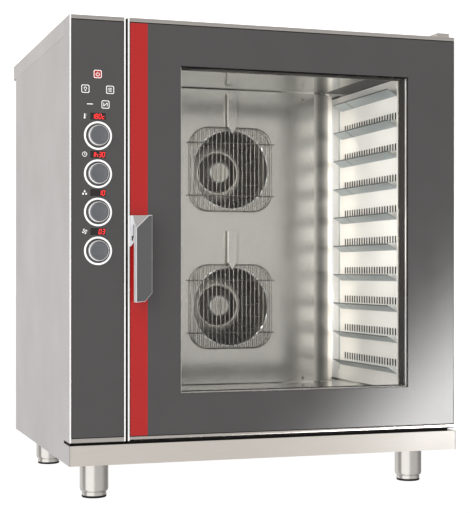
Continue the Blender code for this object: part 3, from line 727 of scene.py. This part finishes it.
def build_knobs():
    for node in [name for name in NODES if name.startswith("knob_")]:
        low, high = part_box(node)
        center = (middle(node).x, GLASS_Y, middle(node).z)
        radius = (high.x - low.x) / 2
        front = low.y - GLASS_Y
        name = node.removeprefix("knob_")
        skirt = [
            (0, front + 1.6 * MM),
            (radius * 0.90, front + 1.6 * MM),
            (radius * 0.93, front + 1.2 * MM),
            (radius * 0.985, front + 2.4 * MM),
            (radius, front + 4.5 * MM),
            (radius, -2.2 * MM),
            (radius * 0.97, -1.0 * MM),
            *mm((4, -1.0), (4, 9), (0, 9)),
        ]
        add_turned("knob_skirt_" + name, center, "y", skirt, 64, KNOB_SIDE, node, [node])
        dish = [
            (0, front + 1.3 * MM),
            (radius * 0.40, front + 1.1 * MM),
            (radius * 0.70, front + 0.5 * MM),
            (radius * 0.78, front),
            (radius * 0.84, front + 0.25 * MM),
            (radius * 0.93, front + 1.5 * MM),
            (radius * 0.90, front + 1.7 * MM),
            (0, front + 1.7 * MM),
        ]
        add_turned("knob_face_" + name, center, "y", dish, 64, KNOB_METAL, node)
        outer, inner = [circle((center[0], center[2]), size * MM, 64) for size in (33, 28.6)]
        ring = band(bmesh.new(), outer, inner, "xz", GLASS_Y - 0.15 * MM, GLASS_Y + 0.05 * MM)
        add_piece("knob_ring_" + name, ring, PRINT_WHITE_GLOWING)


def strokes(mesh, center, lines, width, y):
    """Add printed lines of one width, each (x, z, x, z) in millimetres from a centre."""
    for x0, z0, x1, z1 in lines:
        start = Vector((center[0] + x0 * MM, center[1] + z0 * MM))
        end = Vector((center[0] + x1 * MM, center[1] + z1 * MM))
        along = (end - start).normalized()
        across = Vector((-along.y, along.x)) * width / 2
        outline = [start - across, end - across, end + across, start + across]
        printed(mesh, [(p.x, p.y) for p in outline], y)


def arc(mesh, center, radius, start, end, width, y, steps=16):
    """Add a printed arc between two angles in degrees."""
    angles = [math.radians(start + (end - start) * step / steps) for step in range(steps + 1)]
    outer, inner = [
        [(center[0] + reach * math.cos(t), center[1] + reach * math.sin(t)) for t in angles]
        for reach in (radius + width / 2, radius - width / 2)
    ]
    for index in range(steps):
        printed(mesh, [outer[index], outer[index + 1], inner[index + 1], inner[index]], y)


def dot(mesh, center, radius, y):
    printed(mesh, circle(center, radius, 20), y)


def build_keys():
    """Round-cornered keys, each with a thin frame and its own sign."""
    line = 1.3 * MM
    signs = {
        "power": [(0, 0.4, 0, 5.2)],
        "light": [(-1.6, -2.6, 1.6, -2.6), (-1.3, -4.6, 1.3, -4.6)],
        "programs": [(-2.6, step, 4.2, step) for step in (-3.4, 0, 3.4)],
        "steam": [(-4.2, -4, -4.2, 4), (4.2, -4, 4.2, 4), (-4.2, -4, 4.2, 4)],
    }
    for node in [name for name in NODES if name.startswith("key_")]:
        name = node.removeprefix("key_")
        lines = signs[name]
        low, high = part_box(node)
        x = middle(node).x
        z = middle(node).z
        y = low.y
        half = (high.x - low.x) / 2
        cap = prism(bmesh.new(), rounded_rectangle((x, z), half, half, half * 0.45, 6), "xz", low.y, high.y)
        material, slot = (KEY_RED, "key_red") if name == "power" else (KEY_DARK, "key_dark")
        add_piece("key_cap_" + name, cap, material, node, [node], 0.3 * MM)
        marks = bmesh.new()
        side = half - 0.6 * MM
        outer = rounded_rectangle((x, z), side, side, side * 0.32, 5)
        inner = rounded_rectangle((x, z), side - 1.5 * MM, side - 1.5 * MM, side * 0.26, 5)
        band(marks, outer, inner, "xz", y - 0.15 * MM, y + 0.05 * MM)
        strokes(marks, (x, z), lines, line, y)
        if name == "power":
            arc(marks, (x, z - 0.6 * MM), 4.0 * MM, 130, 410, line, y)
        elif name == "light":
            arc(marks, (x, z + 1.2 * MM), 3.0 * MM, -50, 230, line, y)
        elif name == "programs":
            for _, step, _, _ in lines:
                dot(marks, (x - 4.4 * MM, z + step * MM), 0.8 * MM, y)
        add_piece("key_marks_" + name, marks, PRINT_WHITE_GLOWING, node)


def build_panel_marks():
    """Small printed signs to the left of the displays, and the dash beside the steam key."""
    y = GLASS_Y
    marks = bmesh.new()
    line = 1.2 * MM
    column = middle("display_temperature").x - 31.5 * MM

    z = middle("display_temperature").z
    dot(marks, (column, z - 4.0 * MM), 2.2 * MM, y)
    strokes(marks, (column, z), [(0, -3, 0, 5.5)], 2.0 * MM, y)
    strokes(marks, (column, z), [(2, 4, 4, 4), (2, 1, 4, 1)], 0.9 * MM, y)

    z = middle("display_time").z
    arc(marks, (column, z), 5.2 * MM, 0, 360, line, y, 28)
    strokes(marks, (column, z), [(0, 0, 0, 3.4), (0, 0, 2.6, 0)], line, y)

    z = middle("display_humidity").z
    for offset_x, offset_z in mm((0, 3.2), (-3.6, -2.6), (3.6, -2.6)):
        dot(marks, (column + offset_x, z + offset_z - 0.6 * MM), 2.0 * MM, y)
        strokes(marks, (column + offset_x, z + offset_z), [(0, 0, 0, 2.6)], 1.4 * MM, y)

    z = middle("display_fan_speed").z
    dot(marks, (column, z), 1.5 * MM, y)
    for turn in range(0, 360, 90):
        angle = math.radians(turn + 20)
        center = (column + 3.6 * MM * math.cos(angle), z + 3.6 * MM * math.sin(angle))
        arc(marks, center, 1.9 * MM, turn - 40, turn + 170, 1.5 * MM, y, 8)

    key = middle("key_steam")
    strokes(marks, (key.x - 36.6 * MM, key.z), [(-7, 0, 7, 0)], 1.8 * MM, y)
    add_piece("panel_signs", marks, PRINT_WHITE_GLOWING)


# ---------------------------------------------------------------- cavity


def cut_out(obj, tool):
    """Cut the shape of a bmesh out of a piece."""
    bmesh.ops.recalc_face_normals(tool, faces=tool.faces[:])
    cutter = object_of("cutter", tool)
    modifier = obj.modifiers.new("Hole", "BOOLEAN")
    modifier.object = cutter
    modifier.solver = "EXACT"
    graph = bpy.context.evaluated_depsgraph_get()
    data = bpy.data.meshes.new_from_object(obj.evaluated_get(graph))
    obj.modifiers.clear()
    obj.data = data
    bpy.data.objects.remove(cutter)


def add_heads(name, spots, profile, steps, material):
    """Add one piece of equal screw heads or studs that stand along Y."""
    heads = bmesh.new()
    for spot in spots:
        lathe(heads, spot, "y", profile, steps)
    add_piece(name, heads, material)


def build_deflector():
    """The sheet in front of the fans: flat between two rolled edges, with two round openings."""
    low, high = DEFLECTOR
    roll = high.y - low.y
    thick = 1.5 * MM
    steps = 20
    ends = (low.z - 3 * MM, high.z + 3.5 * MM)
    corners = ((low.x + roll, low.y, ends[0]), (high.x - roll, low.y + thick, ends[1]))
    replaced = ["deflector_panel"]
    sheet = add_box("deflector_sheet", *corners, DEFLECTOR_STEEL, "deflector_steel", replaces=replaced)
    turns = [math.pi / 2 * step / steps for step in range(steps + 1)]
    for name, side, edge in (("right", 1, high.x), ("left", -1, low.x)):
        x, y = edge - side * roll, low.y + roll
        outer, inner = [
            [(x + side * radius * math.sin(t), y - radius * math.cos(t)) for t in turns]
            for radius in (roll, roll - thick)
        ]
        rolled = prism(bmesh.new(), outer + inner[::-1], "xy", *ends)
        add_piece("deflector_roll_" + name, rolled, ROLL_STEEL_PAINTED_SHADE)
    for level in LEVELS:
        center = middle("fan_wheel_" + level)
        place = (center.x, low.y, center.z)
        cut_out(sheet, lathe(bmesh.new(), place, "y", rectangle((0, -0.02), (FAN_HOLE, 0.02)), 96))
        rim = circle((FAN_HOLE - 1.4 * MM, -0.8 * MM), 2.0 * MM, 10)
        add_turned("fan_hole_rim_" + level, place, "y", rim, 96, RIM_STEEL)
    columns = (low.x + 92 * MM, high.x - 114 * MM)
    spots = [(x, low.y - 0.1 * MM, z) for x in columns for z in (low.z + 7 * MM, high.z - 16 * MM)]
    head = mm((0, -2.4), (2.6, -2.2), (4.2, -1.2), (4.8, 0), (0, 0))
    add_heads("deflector_screws", spots, head, 20, WIRE_STEEL)


def build_grilles():
    """Wire guards: a rounded hoop filled with upright wires, on two cross wires with round ends."""
    count = 18
    radius = 52 * MM
    for level in LEVELS:
        node = "fan_grille_" + level
        low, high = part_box(node)
        center = middle(node)
        half_height = (high.z - low.z) / 2 - 1.5 * MM
        half_width = half_height + 2 * MM
        mesh = bmesh.new()
        outline = rounded_rectangle((center.x, center.z), half_width, half_height, radius, 10)
        tube(mesh, [(x, center.y, z) for x, z in outline], 1.7 * MM, 8, True)
        for index in range(count):
            offset = (index + 1) * 2 * half_width / (count + 1) - half_width
            beyond = max(0.0, abs(offset) - (half_width - radius))
            reach = half_height - radius + math.sqrt(radius**2 - beyond**2)
            x = center.x + offset
            tube(mesh, [(x, center.y, center.z - reach), (x, center.y, center.z + reach)], 1.7 * MM, 8)
        ends = (low.x + 2 * MM, high.x - 2 * MM)
        for z in (center.z - 72 * MM, center.z + 72 * MM):
            tube(mesh, [(x, center.y + 0.6 * MM, z) for x in ends], 1.6 * MM, 8)
            for x in ends:
                ball(mesh, (x, center.y + 0.4 * MM, z), 2.0 * MM)
        add_piece("grille_wires_" + level, mesh, WIRE_STEEL, replaces=[node], sharp=60)


# The turned parts of a fan: steps, finish, and a profile of (radius, place along the shaft) in millimetres.
FAN_PARTS = {
    "disc": (
        72,
        FAN_STEEL,
        ((0, 2), (81.8, 2), (81.8, -2), (61, -46), (59.5, -47), (57.5, -47), (57, -46), (52, -14), (0, -12)),
    ),
    "hub": (
        48,
        RIM_STEEL,
        ((0, -65.2), (26, -65.2), (26.4, -66), (28.4, -65.6), (29, -64), (29, -12.6), (0, -12.6)),
    ),
    "cap": (48, FAN_STEEL, ((0, -65.8), (25, -65.6), (25.4, -65), (0, -65))),
    "nut": (6, FAN_STEEL, ((0, -70), (5, -70), (6, -69), (6, -65.7), (0, -65.7))),
    # The well round the hub is near black: painted shade.
    "well": (
        48,
        FAN_WELL_PAINTED_SHADE,
        ((29.2, -15), (29.2, -20), (29.6, -20), (50.5, -16), (55.6, -44), (56.6, -44), (51.6, -14.6)),
    ),
}


def build_blades(center, outer):
    """The swept blades of a fan wheel and the flat ring over their front edges."""
    blades = bmesh.new()
    count = 20
    steps = 6
    inner = 94 * MM
    sweep = math.radians(9)
    x, _, z = center
    for index in range(count):
        turn = 2 * math.pi * index / count
        shares = [step / steps for step in range(steps + 1)]
        spine = [(inner + (outer - 2 * MM - inner) * share, turn + sweep * share**2) for share in shares]
        front, back = [
            [
                (x + r * math.cos(a) - half * math.sin(a), z + r * math.sin(a) + half * math.cos(a))
                for r, a in spine
            ]
            for half in (0.9 * MM, -0.9 * MM)
        ]
        prism(blades, front + back[::-1], "xz", center.y - 47 * MM, center.y)
    lathe(blades, center, "y", rectangle((outer - 22 * MM, -48 * MM), (outer - 1 * MM, -46.8 * MM)), 72)
    return blades


def build_fans():
    for level in LEVELS:
        node = "fan_wheel_" + level
        low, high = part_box(node)
        center = Vector(next(j for j in frame["joints"] if j["child"] == node)["pos_m"])
        outer = (high.x - low.x) / 2
        plate = rectangle((82 * MM, 2 * MM), (outer, 0))
        add_turned("fan_plate_" + level, center, "y", plate, 72, FAN_RIM, node)
        for part, (steps, finish, profile) in FAN_PARTS.items():
            name = f"fan_{part}_{level}"
            replaced = [node] if part == "disc" else ()
            add_turned(name, center, "y", mm(*profile), steps, finish, node, replaced)
        shaft = rectangle((0, 2 * MM), (7 * MM, high.y - center.y))
        add_turned("fan_shaft_" + level, center, "y", shaft, 24, SILVER, node)
        add_piece("fan_blades_" + level, build_blades(center, outer), FAN_BLADE, node)

        low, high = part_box("heater_" + level)
        radius = (high.x - low.x) / 2 - 5 * MM
        angles = [math.radians(-85 + 350 * step / 96) for step in range(97)]
        points = [
            (center.x + radius * math.cos(t), low.y + 5 * MM, center.z + radius * math.sin(t)) for t in angles
        ]
        coil = tube(bmesh.new(), points, 4.8 * MM, 12)
        for end in (points[0], points[-1]):
            tube(coil, [end, (end[0], high.y, end[2])], 4.4 * MM, 12)
        add_piece("heater_element_" + level, coil, HEATER, replaces=["heater_" + level], sharp=60)


def build_chutes():
    """Flat channels with a pointed end, which lead water to the fans, each on two studs."""
    back = DEFLECTOR[0].y - 0.1 * MM
    slot = "deflector_steel"
    for level in LEVELS:
        node = "water_chute_" + level
        low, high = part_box(node)
        x = (low.x + high.x) / 2
        tip = low.z
        shoulder = low.z + 20 * MM
        outline = [(low.x, high.z), (low.x, shoulder), (x, tip), (high.x, shoulder), (high.x, high.z)]
        channel = prism(bmesh.new(), outline, "xz", low.y, high.y)
        add_piece("chute_channel_" + level, channel, DEFLECTOR_STEEL, replaces=[node], bevel=0.8 * MM)
        spots = [(x, 0, z) for z in (high.z - 14 * MM, shoulder + 30 * MM)]
        stud = rectangle((0, high.y), (4 * MM, back))
        add_heads("chute_studs_" + level, spots, stud, 16, DEFLECTOR_STEEL)
        # A near-white lip down the left side of the channel: a painted highlight.
        lip = (
            (low.x - 0.5 * MM, low.y - 0.3 * MM, shoulder),
            (low.x + 0.5 * MM, low.y + 1.0 * MM, high.z - 2 * MM),
        )
        add_box("chute_lip_" + level, *lip, TRIM_PAINTED_HIGHLIGHT, slot)
        # Dark edges along the pointed end: painted shade.
        edges = bmesh.new()
        for start, end in (((low.x, shoulder), (x, tip)), ((x, tip), (high.x, shoulder))):
            start, end = Vector(start), Vector(end)
            along = (end - start).normalized()
            across = Vector((-along.y, along.x)) * 0.9 * MM
            corners = [start - across, end - across, end + across, start + across]
            prism(edges, [(c.x, c.y) for c in corners], "xz", low.y - 0.3 * MM, low.y + 3 * MM)
        add_piece("chute_edges_" + level, edges, WIRE_STEEL)
        if level == "upper":
            spots = [(side, back, high.z - 51 * MM) for side in (low.x - 4.5 * MM, high.x + 3 * MM)]
            head = mm((0, -1.8), (2.2, -1.4), (3.2, 0), (0, 0))
            add_heads("chute_screws", spots, head, 16, RIM_STEEL)


def rack_sheet(cuts_y, cuts_z, wall, face):
    """A sheet cut into cells, with a slot in every second cell of every second row."""
    sheet = bmesh.new()
    sides = [[[sheet.verts.new((x, y, z)) for y in cuts_y] for z in cuts_z] for x in (wall, face)]
    spots = [(row, column) for row in range(len(cuts_z) - 1) for column in range(len(cuts_y) - 1)]
    solid = dict.fromkeys(spot for spot in spots if not (spot[0] % 2 and spot[1] % 2))
    for row, column in solid:
        corners = cell(row, column)
        for layer in sides:
            sheet.faces.new([layer[r][c] for r, c in corners])
        neighbours = ((row - 1, column), (row, column + 1), (row + 1, column), (row, column - 1))
        for neighbour, (r0, c0), (r1, c1) in zip(neighbours, corners, corners[1:] + corners[:1]):
            if neighbour not in solid:
                sheet.faces.new([sides[0][r0][c0], sides[0][r1][c1], sides[1][r1][c1], sides[1][r0][c0]])
    loose = [vert for vert in sheet.verts if not vert.link_faces]
    bmesh.ops.delete(sheet, geom=loose, context="VERTS")
    return sheet


def build_racks():
    """Each rack is a wall sheet with slots over every level, and ten sloping runners."""
    levels = 10
    pitch = 80 * MM
    rise = 17 * MM
    slots = 21
    for name, inward in (("rack_right", -1), ("rack_left", 1)):
        low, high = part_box(name)
        wall = high.x if inward < 0 else low.x
        face = wall + inward * 1.5 * MM
        tip = wall + inward * (high.x - low.x)

        def slope(foot, top, *rises):
            """A strip that climbs from the wall to the tip, with its corners' rises in millimetres."""
            ends = ((face, foot), (tip, top), (tip, top), (face, foot))
            return [(x, z + rise * MM) for (x, z), rise in zip(ends, rises)]

        heights = [high.z - 31 * MM - level * pitch for level in range(levels)]
        slots_start = low.y + 4 * MM
        slots_end = high.y - 12 * MM
        step = (slots_end - slots_start) / slots
        cuts_y = [low.y]
        for index in range(slots):
            cuts_y += [slots_start + index * step, slots_start + index * step + step * 0.58]
        cuts_z = [low.z]
        for z in reversed(heights[1:]):
            cuts_z += [z + 19.5 * MM, z + 38 * MM]
        sheet = rack_sheet(cuts_y + [high.y], cuts_z + [high.z], wall, face)
        add_piece("rack_sheet_" + name, sheet, WALL_STEEL, replaces=[name])
        # A black sheet behind the slots: painted shade seen through them.
        slot_shade_sheet = bmesh.new()
        x0, x1 = sorted((wall, wall + inward * 0.4 * MM))
        for z in heights[1:]:
            box(slot_shade_sheet, (x0, slots_start, z + 18.5 * MM), (x1, slots_end, z + 39 * MM))
        add_piece("rack_slot_painted_shadow_" + name, slot_shade_sheet, SHADOW)
        runners = bmesh.new()
        seams = bmesh.new()
        x0, x1 = sorted((tip, tip - inward * 0.35 * MM))
        for z in heights:
            top = z + rise
            prism(runners, slope(z, top, 0, -0.9, 0.9, 1.8), "xz", low.y, high.y)
            box(seams, (x0, low.y, top - 1.6 * MM), (x1, high.y, top + 1.2 * MM))
            prism(seams, slope(z, top, -0.25, -1.15, -0.8, 0.1), "xz", high.y - 87 * MM, high.y - 83 * MM)
        add_piece("rack_runners_" + name, runners, RUNNER_STEEL, bevel=0.3 * MM)
        add_piece("rack_runner_seams_" + name, seams, SEAM_STEEL)


def build_side_sheets():
    """The satin sheets of the side walls, a dark strip on the ceiling over each rack that paints the dark
    reflection seen there, and its rear post.
    """
    low, high = CAVITY
    ceiling = high.z - LINER_WALL
    post_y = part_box("rack_right")[1].y + 20 * MM
    for name, wall, inward in (("left", low.x + LINER_WALL, 1), ("right", high.x - LINER_WALL, -1)):
        x0, x1 = sorted((wall + inward * 0.05 * MM, wall + inward * 0.4 * MM))
        sheet = ((x0, low.y + 2 * MM, low.z + 5 * MM), (x1, high.y - 6 * MM, high.z - 5 * MM))
        add_box("cavity_side_" + name, *sheet, WALL_STEEL, "cavity_steel")
        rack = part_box("rack_" + name)[1 if inward < 0 else 0].x
        # A dark strip along the ceiling over the rack: a painted reflection of dark things.
        x0, x1 = sorted((rack, rack + inward * 66 * MM))
        start = (x0, low.y + 12 * MM, ceiling - 0.4 * MM)
        end = (x1, DEFLECTOR[0].y - 2 * MM, ceiling - 0.05 * MM)
        add_box("ceiling_joint_" + name, start, end, CEILING_PAINTED_REFLECTION, "cavity_steel")
        x0, x1 = sorted((wall + inward * 0.4 * MM, wall + inward * 3 * MM))
        post = ((x0, post_y, low.z + 30 * MM), (x1, post_y + 2.4 * MM, high.z - 20 * MM))
        add_box("rack_post_" + name, *post, RUNNER_STEEL, "runner_steel")


def build_lamp():
    """A frosted dome in a polished bezel, hanging from the ceiling."""
    low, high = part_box("cavity_lamp")
    center = (middle("cavity_lamp").x, middle("cavity_lamp").y, 0)
    radius = (high.x - low.x) / 2
    bezel = [(radius, high.z), (radius, high.z - 5 * MM), (radius - 3 * MM, high.z - 7 * MM)]
    bezel += [(radius - 8 * MM, high.z - 7 * MM), (radius - 8 * MM, high.z)]
    add_turned("lamp_bezel", center, "z", bezel, 48, WIRE_STEEL)
    dome = [(0, low.z), (radius * 0.4, low.z + 1.4 * MM), (radius - 9 * MM, high.z - 6 * MM)]
    dome += [(radius - 9 * MM, high.z), (0, high.z)]
    add_turned("lamp_dome", center, "z", dome, 48, LAMP_GLASS, replaces=["cavity_lamp"])


def build_gasket():
    """A hollow-looking round seal that stands on the cavity's frame."""
    low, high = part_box("cavity_gasket")
    center = ((low.x + high.x) / 2, (low.z + high.z) / 2)
    half_width = (high.x - low.x) / 2 - 6 * MM
    half_height = (high.z - low.z) / 2 - 6 * MM
    ridge = rounded_rectangle(center, half_width, half_height, 18 * MM)
    seal = tube(bmesh.new(), [(x, low.y + 4.4 * MM, z) for x, z in ridge], 4.3 * MM, 12, True)
    outer = rounded_rectangle(center, half_width + 6 * MM, half_height + 6 * MM, 24 * MM)
    inner = rounded_rectangle(center, half_width - 6 * MM, half_height - 6 * MM, 12 * MM)
    band(seal, outer, inner, "xz", high.y - 2 * MM, high.y)
    add_piece("cavity_seal", seal, RUBBER, replaces=["cavity_gasket"], sharp=60)


# ---------------------------------------------------------------- outside


def build_feet():
    """Each foot is a steel tube, a narrower collar under it and a rubber pad."""
    for corner in ("front_left", "front_right", "rear_left", "rear_right"):
        node = "foot_sleeve_" + corner
        low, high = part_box(node)
        center = (middle(node).x, middle(node).y, 0)
        radius = (high.x - low.x) / 2
        sleeve = [
            (0, high.z),
            (radius, high.z),
            (radius, low.z + 7 * MM),
            (radius - 0.6 * MM, low.z + 3.4 * MM),
            (radius - 1.6 * MM, low.z + 1.2 * MM),
            (radius - 3.0 * MM, low.z),
            (0, low.z),
        ]
        low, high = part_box("foot_" + corner)
        radius = (high.x - low.x) / 2
        pad_top = 5.5 * MM
        collar = [
            (0, high.z),
            (radius - 2.4 * MM, high.z),
            (radius - 2.4 * MM, high.z - 1.2 * MM),
            (radius - 0.4 * MM, high.z - 1.3 * MM),
            (radius - 0.4 * MM, pad_top),
            (0, pad_top),
        ]
        pad = [(0, pad_top), (radius, pad_top), (radius, 2.2 * MM), (radius - 1.0 * MM, 0.6 * MM)]
        pad += [(radius - 2.6 * MM, 0), (0, 0)]
        for part, profile, finish, slot, replaced in (
            ("tube", sleeve, FOOT_STEEL, "foot_steel", [node]),
            ("collar", collar, FOOT_STEEL, "foot_steel", ["foot_" + corner]),
            ("pad", pad, RUBBER, "foot_rubber", ()),
        ):
            name = f"foot_{part}_{corner}"
            add_turned(name, center, "z", profile, 64, finish, replaces=replaced, sharp=50)


def build_rear():
    """Screws and louvres of the back panel, and the connections."""
    low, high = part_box("rear_panel")
    rows = [low.z + 16 * MM + step * (high.z - low.z - 32 * MM) / 4 for step in range(5)]
    spots = [(x, high.y, z) for x in (low.x + 16 * MM, (low.x + high.x) / 2, high.x - 16 * MM) for z in rows]
    head = mm((0, 1.6), (2.1, 1.5), (3.78, 0.9), (4.2, 0), (0, 0))
    add_heads("rear_screws", spots, head, 20, WIRE_STEEL)
    louvres = bmesh.new()
    block_middles = (-0.33, 0.30)
    rows = 12
    for x in block_middles:
        for step in range(rows):
            z = low.z + 140 * MM + step * 22 * MM
            outline = [(high.y + y, z + up) for y, up in mm((0, 0), (5, 1.5), (5.4, 2.6), (0, 13))]
            prism(louvres, outline, "yz", x - 75 * MM, x + 75 * MM)
    add_piece("rear_louvres", louvres, REAR_STEEL, bevel=0.5 * MM)
    for node, ribs in (("water_inlet", 5), ("drain_outlet", 0), ("steam_vent", 0), ("cable_gland", 3)):
        low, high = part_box(node)
        center = (middle(node).x, low.y, middle(node).z)
        flange = (high.x - low.x) / 2
        radius = flange - 6 * MM
        reach = high.y - low.y
        profile = [(0, 0), (flange, 0), (flange, 6.5 * MM), (flange - 1.5 * MM, 7.7 * MM), (radius, 7.7 * MM)]
        for rib in range(ribs):
            pitch = (reach - 9 * MM) / ribs
            y = 8 * MM + rib * pitch
            profile += [(radius - 1.2 * MM, y), (radius, y + pitch * 0.3), (radius, y + pitch * 0.6)]
        profile += [(radius - 1.0 * MM, reach - 0.5 * MM), (radius - 1.5 * MM, reach)]
        profile += [(radius - 3.5 * MM, reach), (radius - 3.5 * MM, reach - 7 * MM), (0, reach - 7 * MM)]
        add_turned("fitting_" + node, center, "y", profile, 40, NICKEL, replaces=[node])


# ---------------------------------------------------------------- camera and light


def build_camera():
    data = bpy.data.cameras.new("camera")
    data.lens = 93.14
    data.sensor_width = 36
    data.shift_y = 0.0318
    data.clip_end = 60
    camera = bpy.data.objects.new("camera", data)
    camera.location = (-1.088, GLASS_Y - 3.021, 0.5269)
    camera.rotation_euler = (math.radians(90), 0, math.radians(-18.22))
    bpy.context.scene.collection.objects.link(camera)
    bpy.context.scene.camera = camera


def area_light(name, location, target, size, power, only=(), color=(1, 1, 1), glossy=True):
    """Add a soft light of one width or of a (width, height), for all pieces or only for some."""
    data = bpy.data.lights.new(name, "AREA")
    data.energy = power
    data.color = color
    if isinstance(size, tuple):
        data.shape = "RECTANGLE"
        data.size, data.size_y = size
    else:
        data.size = size
    light = bpy.data.objects.new(name, data)
    light.location = location
    light.rotation_euler = (Vector(target) - Vector(location)).to_track_quat("-Z", "Y").to_euler()
    light.visible_camera = False
    light.visible_glossy = glossy
    bpy.context.scene.collection.objects.link(light)
    if only:
        only_for(light, only)
    return light


def only_for(light, names):
    """Let a light shine on these pieces only."""
    receivers = bpy.data.collections.new(light.name + "_receivers")
    for name in names:
        receivers.objects.link(bpy.data.objects[name])
    light.light_linking.receiver_collection = receivers


CARD_SLOPE = math.radians(46)
CARD_POWER = 73
CARD_SIZE = (1.7, 0.66)
CARD_EDGE = Vector((0.642, GLASS_Y - 1.0, 0.265))  # middle of its upper left edge
# Brightness across the card, from its upper left edge, as shares of its width.
CARD_RAMP = ((0.0, 0.0), (0.06, 0.02), (0.12, 0.075), (0.24, 0.275), (0.36, 0.58), (0.48, 0.885))
CARD_RAMP += ((0.56, 1.0),)


def build_card():
    """A low softbox to the front right, fading towards its upper left edge. The polished front mirrors it."""
    # The edge runs up to the right, and the card lies below and to the right of it.
    along = Vector((math.cos(CARD_SLOPE), 0, math.sin(CARD_SLOPE)))
    below = Vector((along.z, 0, -along.x))
    center = CARD_EDGE + below * CARD_SIZE[1] / 2
    card = area_light("low_softbox", center, center + Vector((0, 1, 0)), CARD_SIZE, CARD_POWER)
    card.matrix_world = Matrix(
        (
            (along.x, below.x, 0, center.x),
            (along.y, below.y, -1, center.y),
            (along.z, below.z, 0, center.z),
            (0, 0, 0, 1),
        )
    )
    card.visible_diffuse = False
    data = card.data
    data.use_nodes = True
    place = add_node(data, "NewGeometry")
    split = add_node(data, "SeparateXYZ")
    ramp = ramp_of(data, CARD_RAMP)
    join(data, place, "Parametric", split, "Vector")
    join(data, split, "Y", ramp, "Fac")
    join(data, ramp, "Color", data.node_tree.nodes["Emission"], "Color")
    trims = ["door_frame_uprights", "door_frame_rail_lower", "control_frame_uprights"]
    only_for(card, ["door_glass_printed", "control_glass"] + trims)


def build_floor():
    """A pale floor that glows a little, so that it fades into the background."""
    mesh = box(bmesh.new(), (-30, -30, -0.06), (30, 30, -0.0002))
    bmesh.ops.recalc_face_normals(mesh, faces=mesh.faces[:])
    floor = object_of("floor", mesh)
    values = {"Specular IOR Level": 0.1, "Emission Color": (1.0, 1.0, 1.0, 1), "Emission Strength": 0.9}
    material, shader = new_material("floor_pale", (0.25, 0.25, 0.25), 0.0, 0.7, values)
    vary_roughness(material, shader, noise(material, 2, 2.0), 0.65, 0.75)
    floor.data.materials.append(material)
    floor.visible_glossy = False


# Brightness of the studio's walls, by direction: -X at 0, -Y at 0.25, +X at 0.5 and +Y at 0.75.
STUDIO_WALLS = ((0.00, 0.24), (0.03, 0.95), (0.20, 0.95), (0.24, 0.47), (0.40, 0.44), (0.47, 0.24))
STUDIO_WALLS += ((0.54, 0.16), (0.62, 0.30), (0.72, 0.56), (0.89, 0.60), (0.95, 0.28), (1.00, 0.24))
# And by height, from the horizon up.
STUDIO_HEIGHT = ((0.0, 1.0), (0.25, 1.0), (0.7, 0.62), (1.0, 0.62))


def build_world():
    """The studio as reflections and light see it. The camera itself sees plain white."""
    world = bpy.data.worlds.new("studio")
    bpy.context.scene.world = world
    world.use_nodes = True
    background = world.node_tree.nodes["Background"]
    background.inputs["Strength"].default_value = 1.6
    place = add_node(world, "TexCoord")
    around = add_node(world, "TexGradient")
    around.gradient_type = "RADIAL"
    walls = ramp_of(world, STUDIO_WALLS)
    split = add_node(world, "SeparateXYZ")
    height = ramp_of(world, STUDIO_HEIGHT)
    room = add_node(world, "Mix")
    room.data_type = "RGBA"
    room.blend_type = "MULTIPLY"
    room.inputs["Factor"].default_value = 1.0
    sight = add_node(world, "LightPath")
    mix = add_node(world, "Mix")
    mix.data_type = "RGBA"
    mix.inputs["B"].default_value = (1.0, 1.0, 1.0, 1)
    join(world, place, "Generated", around, "Vector")
    join(world, around, "Fac", walls, "Fac")
    join(world, place, "Generated", split, "Vector")
    join(world, split, "Z", height, "Fac")
    join(world, walls, "Color", room, "A")
    join(world, height, "Color", room, "B")
    join(world, sight, "Is Camera Ray", mix, "Factor")
    join(world, room, "Result", mix, "A")
    join(world, mix, "Result", background, "Color")


def build_lights():
    """The key light, the softbox that the front mirrors, and small lights that each serve a few pieces."""
    area_light("key", (-2.4, -3.2, 2.6), (0, 0, 0.6), 2.0, 18)
    build_card()
    low, high = CAVITY
    z = (low.z + high.z) / 2
    x = low.x + 0.06  # by the left post of the door, just inside the mouth of the cavity
    y = low.y + 0.03
    rack_x = 0.39
    warm = (1.0, 0.98, 0.95)
    area_light("cavity_glow", (x, y, z + 0.05), (rack_x, -0.20, z + 0.05), (0.05, 0.62), 2.9, color=warm)
    wall = ["rack_sheet_rack_right", "rack_runners_rack_right", "cavity_side_right", "deflector_roll_right"]
    area_light("rack_wash", (x, y, z + 0.10), (rack_x, -0.12, z + 0.10), (0.05, 0.55), 1.9, wall)
    discs = ["fan_disc_upper", "fan_disc_lower"]
    area_light("fan_fill", (0.0, GLASS_Y + 0.12, z), (0.043, GLASS_Y + 0.6, z), 0.3, 1.6, discs)
    start = (DEFLECTOR[1].x - 0.008, GLASS_Y + 0.60, z)
    corner = ["cavity_side_right", "deflector_roll_right"]
    area_light("rack_rear_glow", start, (0.385, GLASS_Y + 0.49, z), (0.01, 0.76), 1.5, corner, glossy=False)
    y = DEFLECTOR[0].y + 0.004
    roll = ["deflector_roll_right"]
    area_light("roll_glow", (0.382, y, z), (0.30, y + 0.02, z), (0.012, 0.76), 0.27, roll, glossy=False)
    start = (0.95, GLASS_Y - 0.75, 0.16)
    cool = (0.90, 0.95, 1.0)
    area_light("plinth_wash", start, (0.42, GLASS_Y, 0.10), 0.45, 1.7, ["base_frame"], cool)


build_camera()
paint_cad_nodes()
build_pane()
build_window()
build_trims()
build_gaps()
build_handle()
build_displays()
build_knobs()
build_keys()
build_panel_marks()
build_deflector()
build_grilles()
build_fans()
build_chutes()
build_racks()
build_side_sheets()
build_lamp()
build_gasket()
build_feet()
build_rear()
build_floor()
build_world()
build_lights()
bpy.context.scene.view_settings.view_transform = "Standard"
bpy.context.scene.view_settings.look = "None"
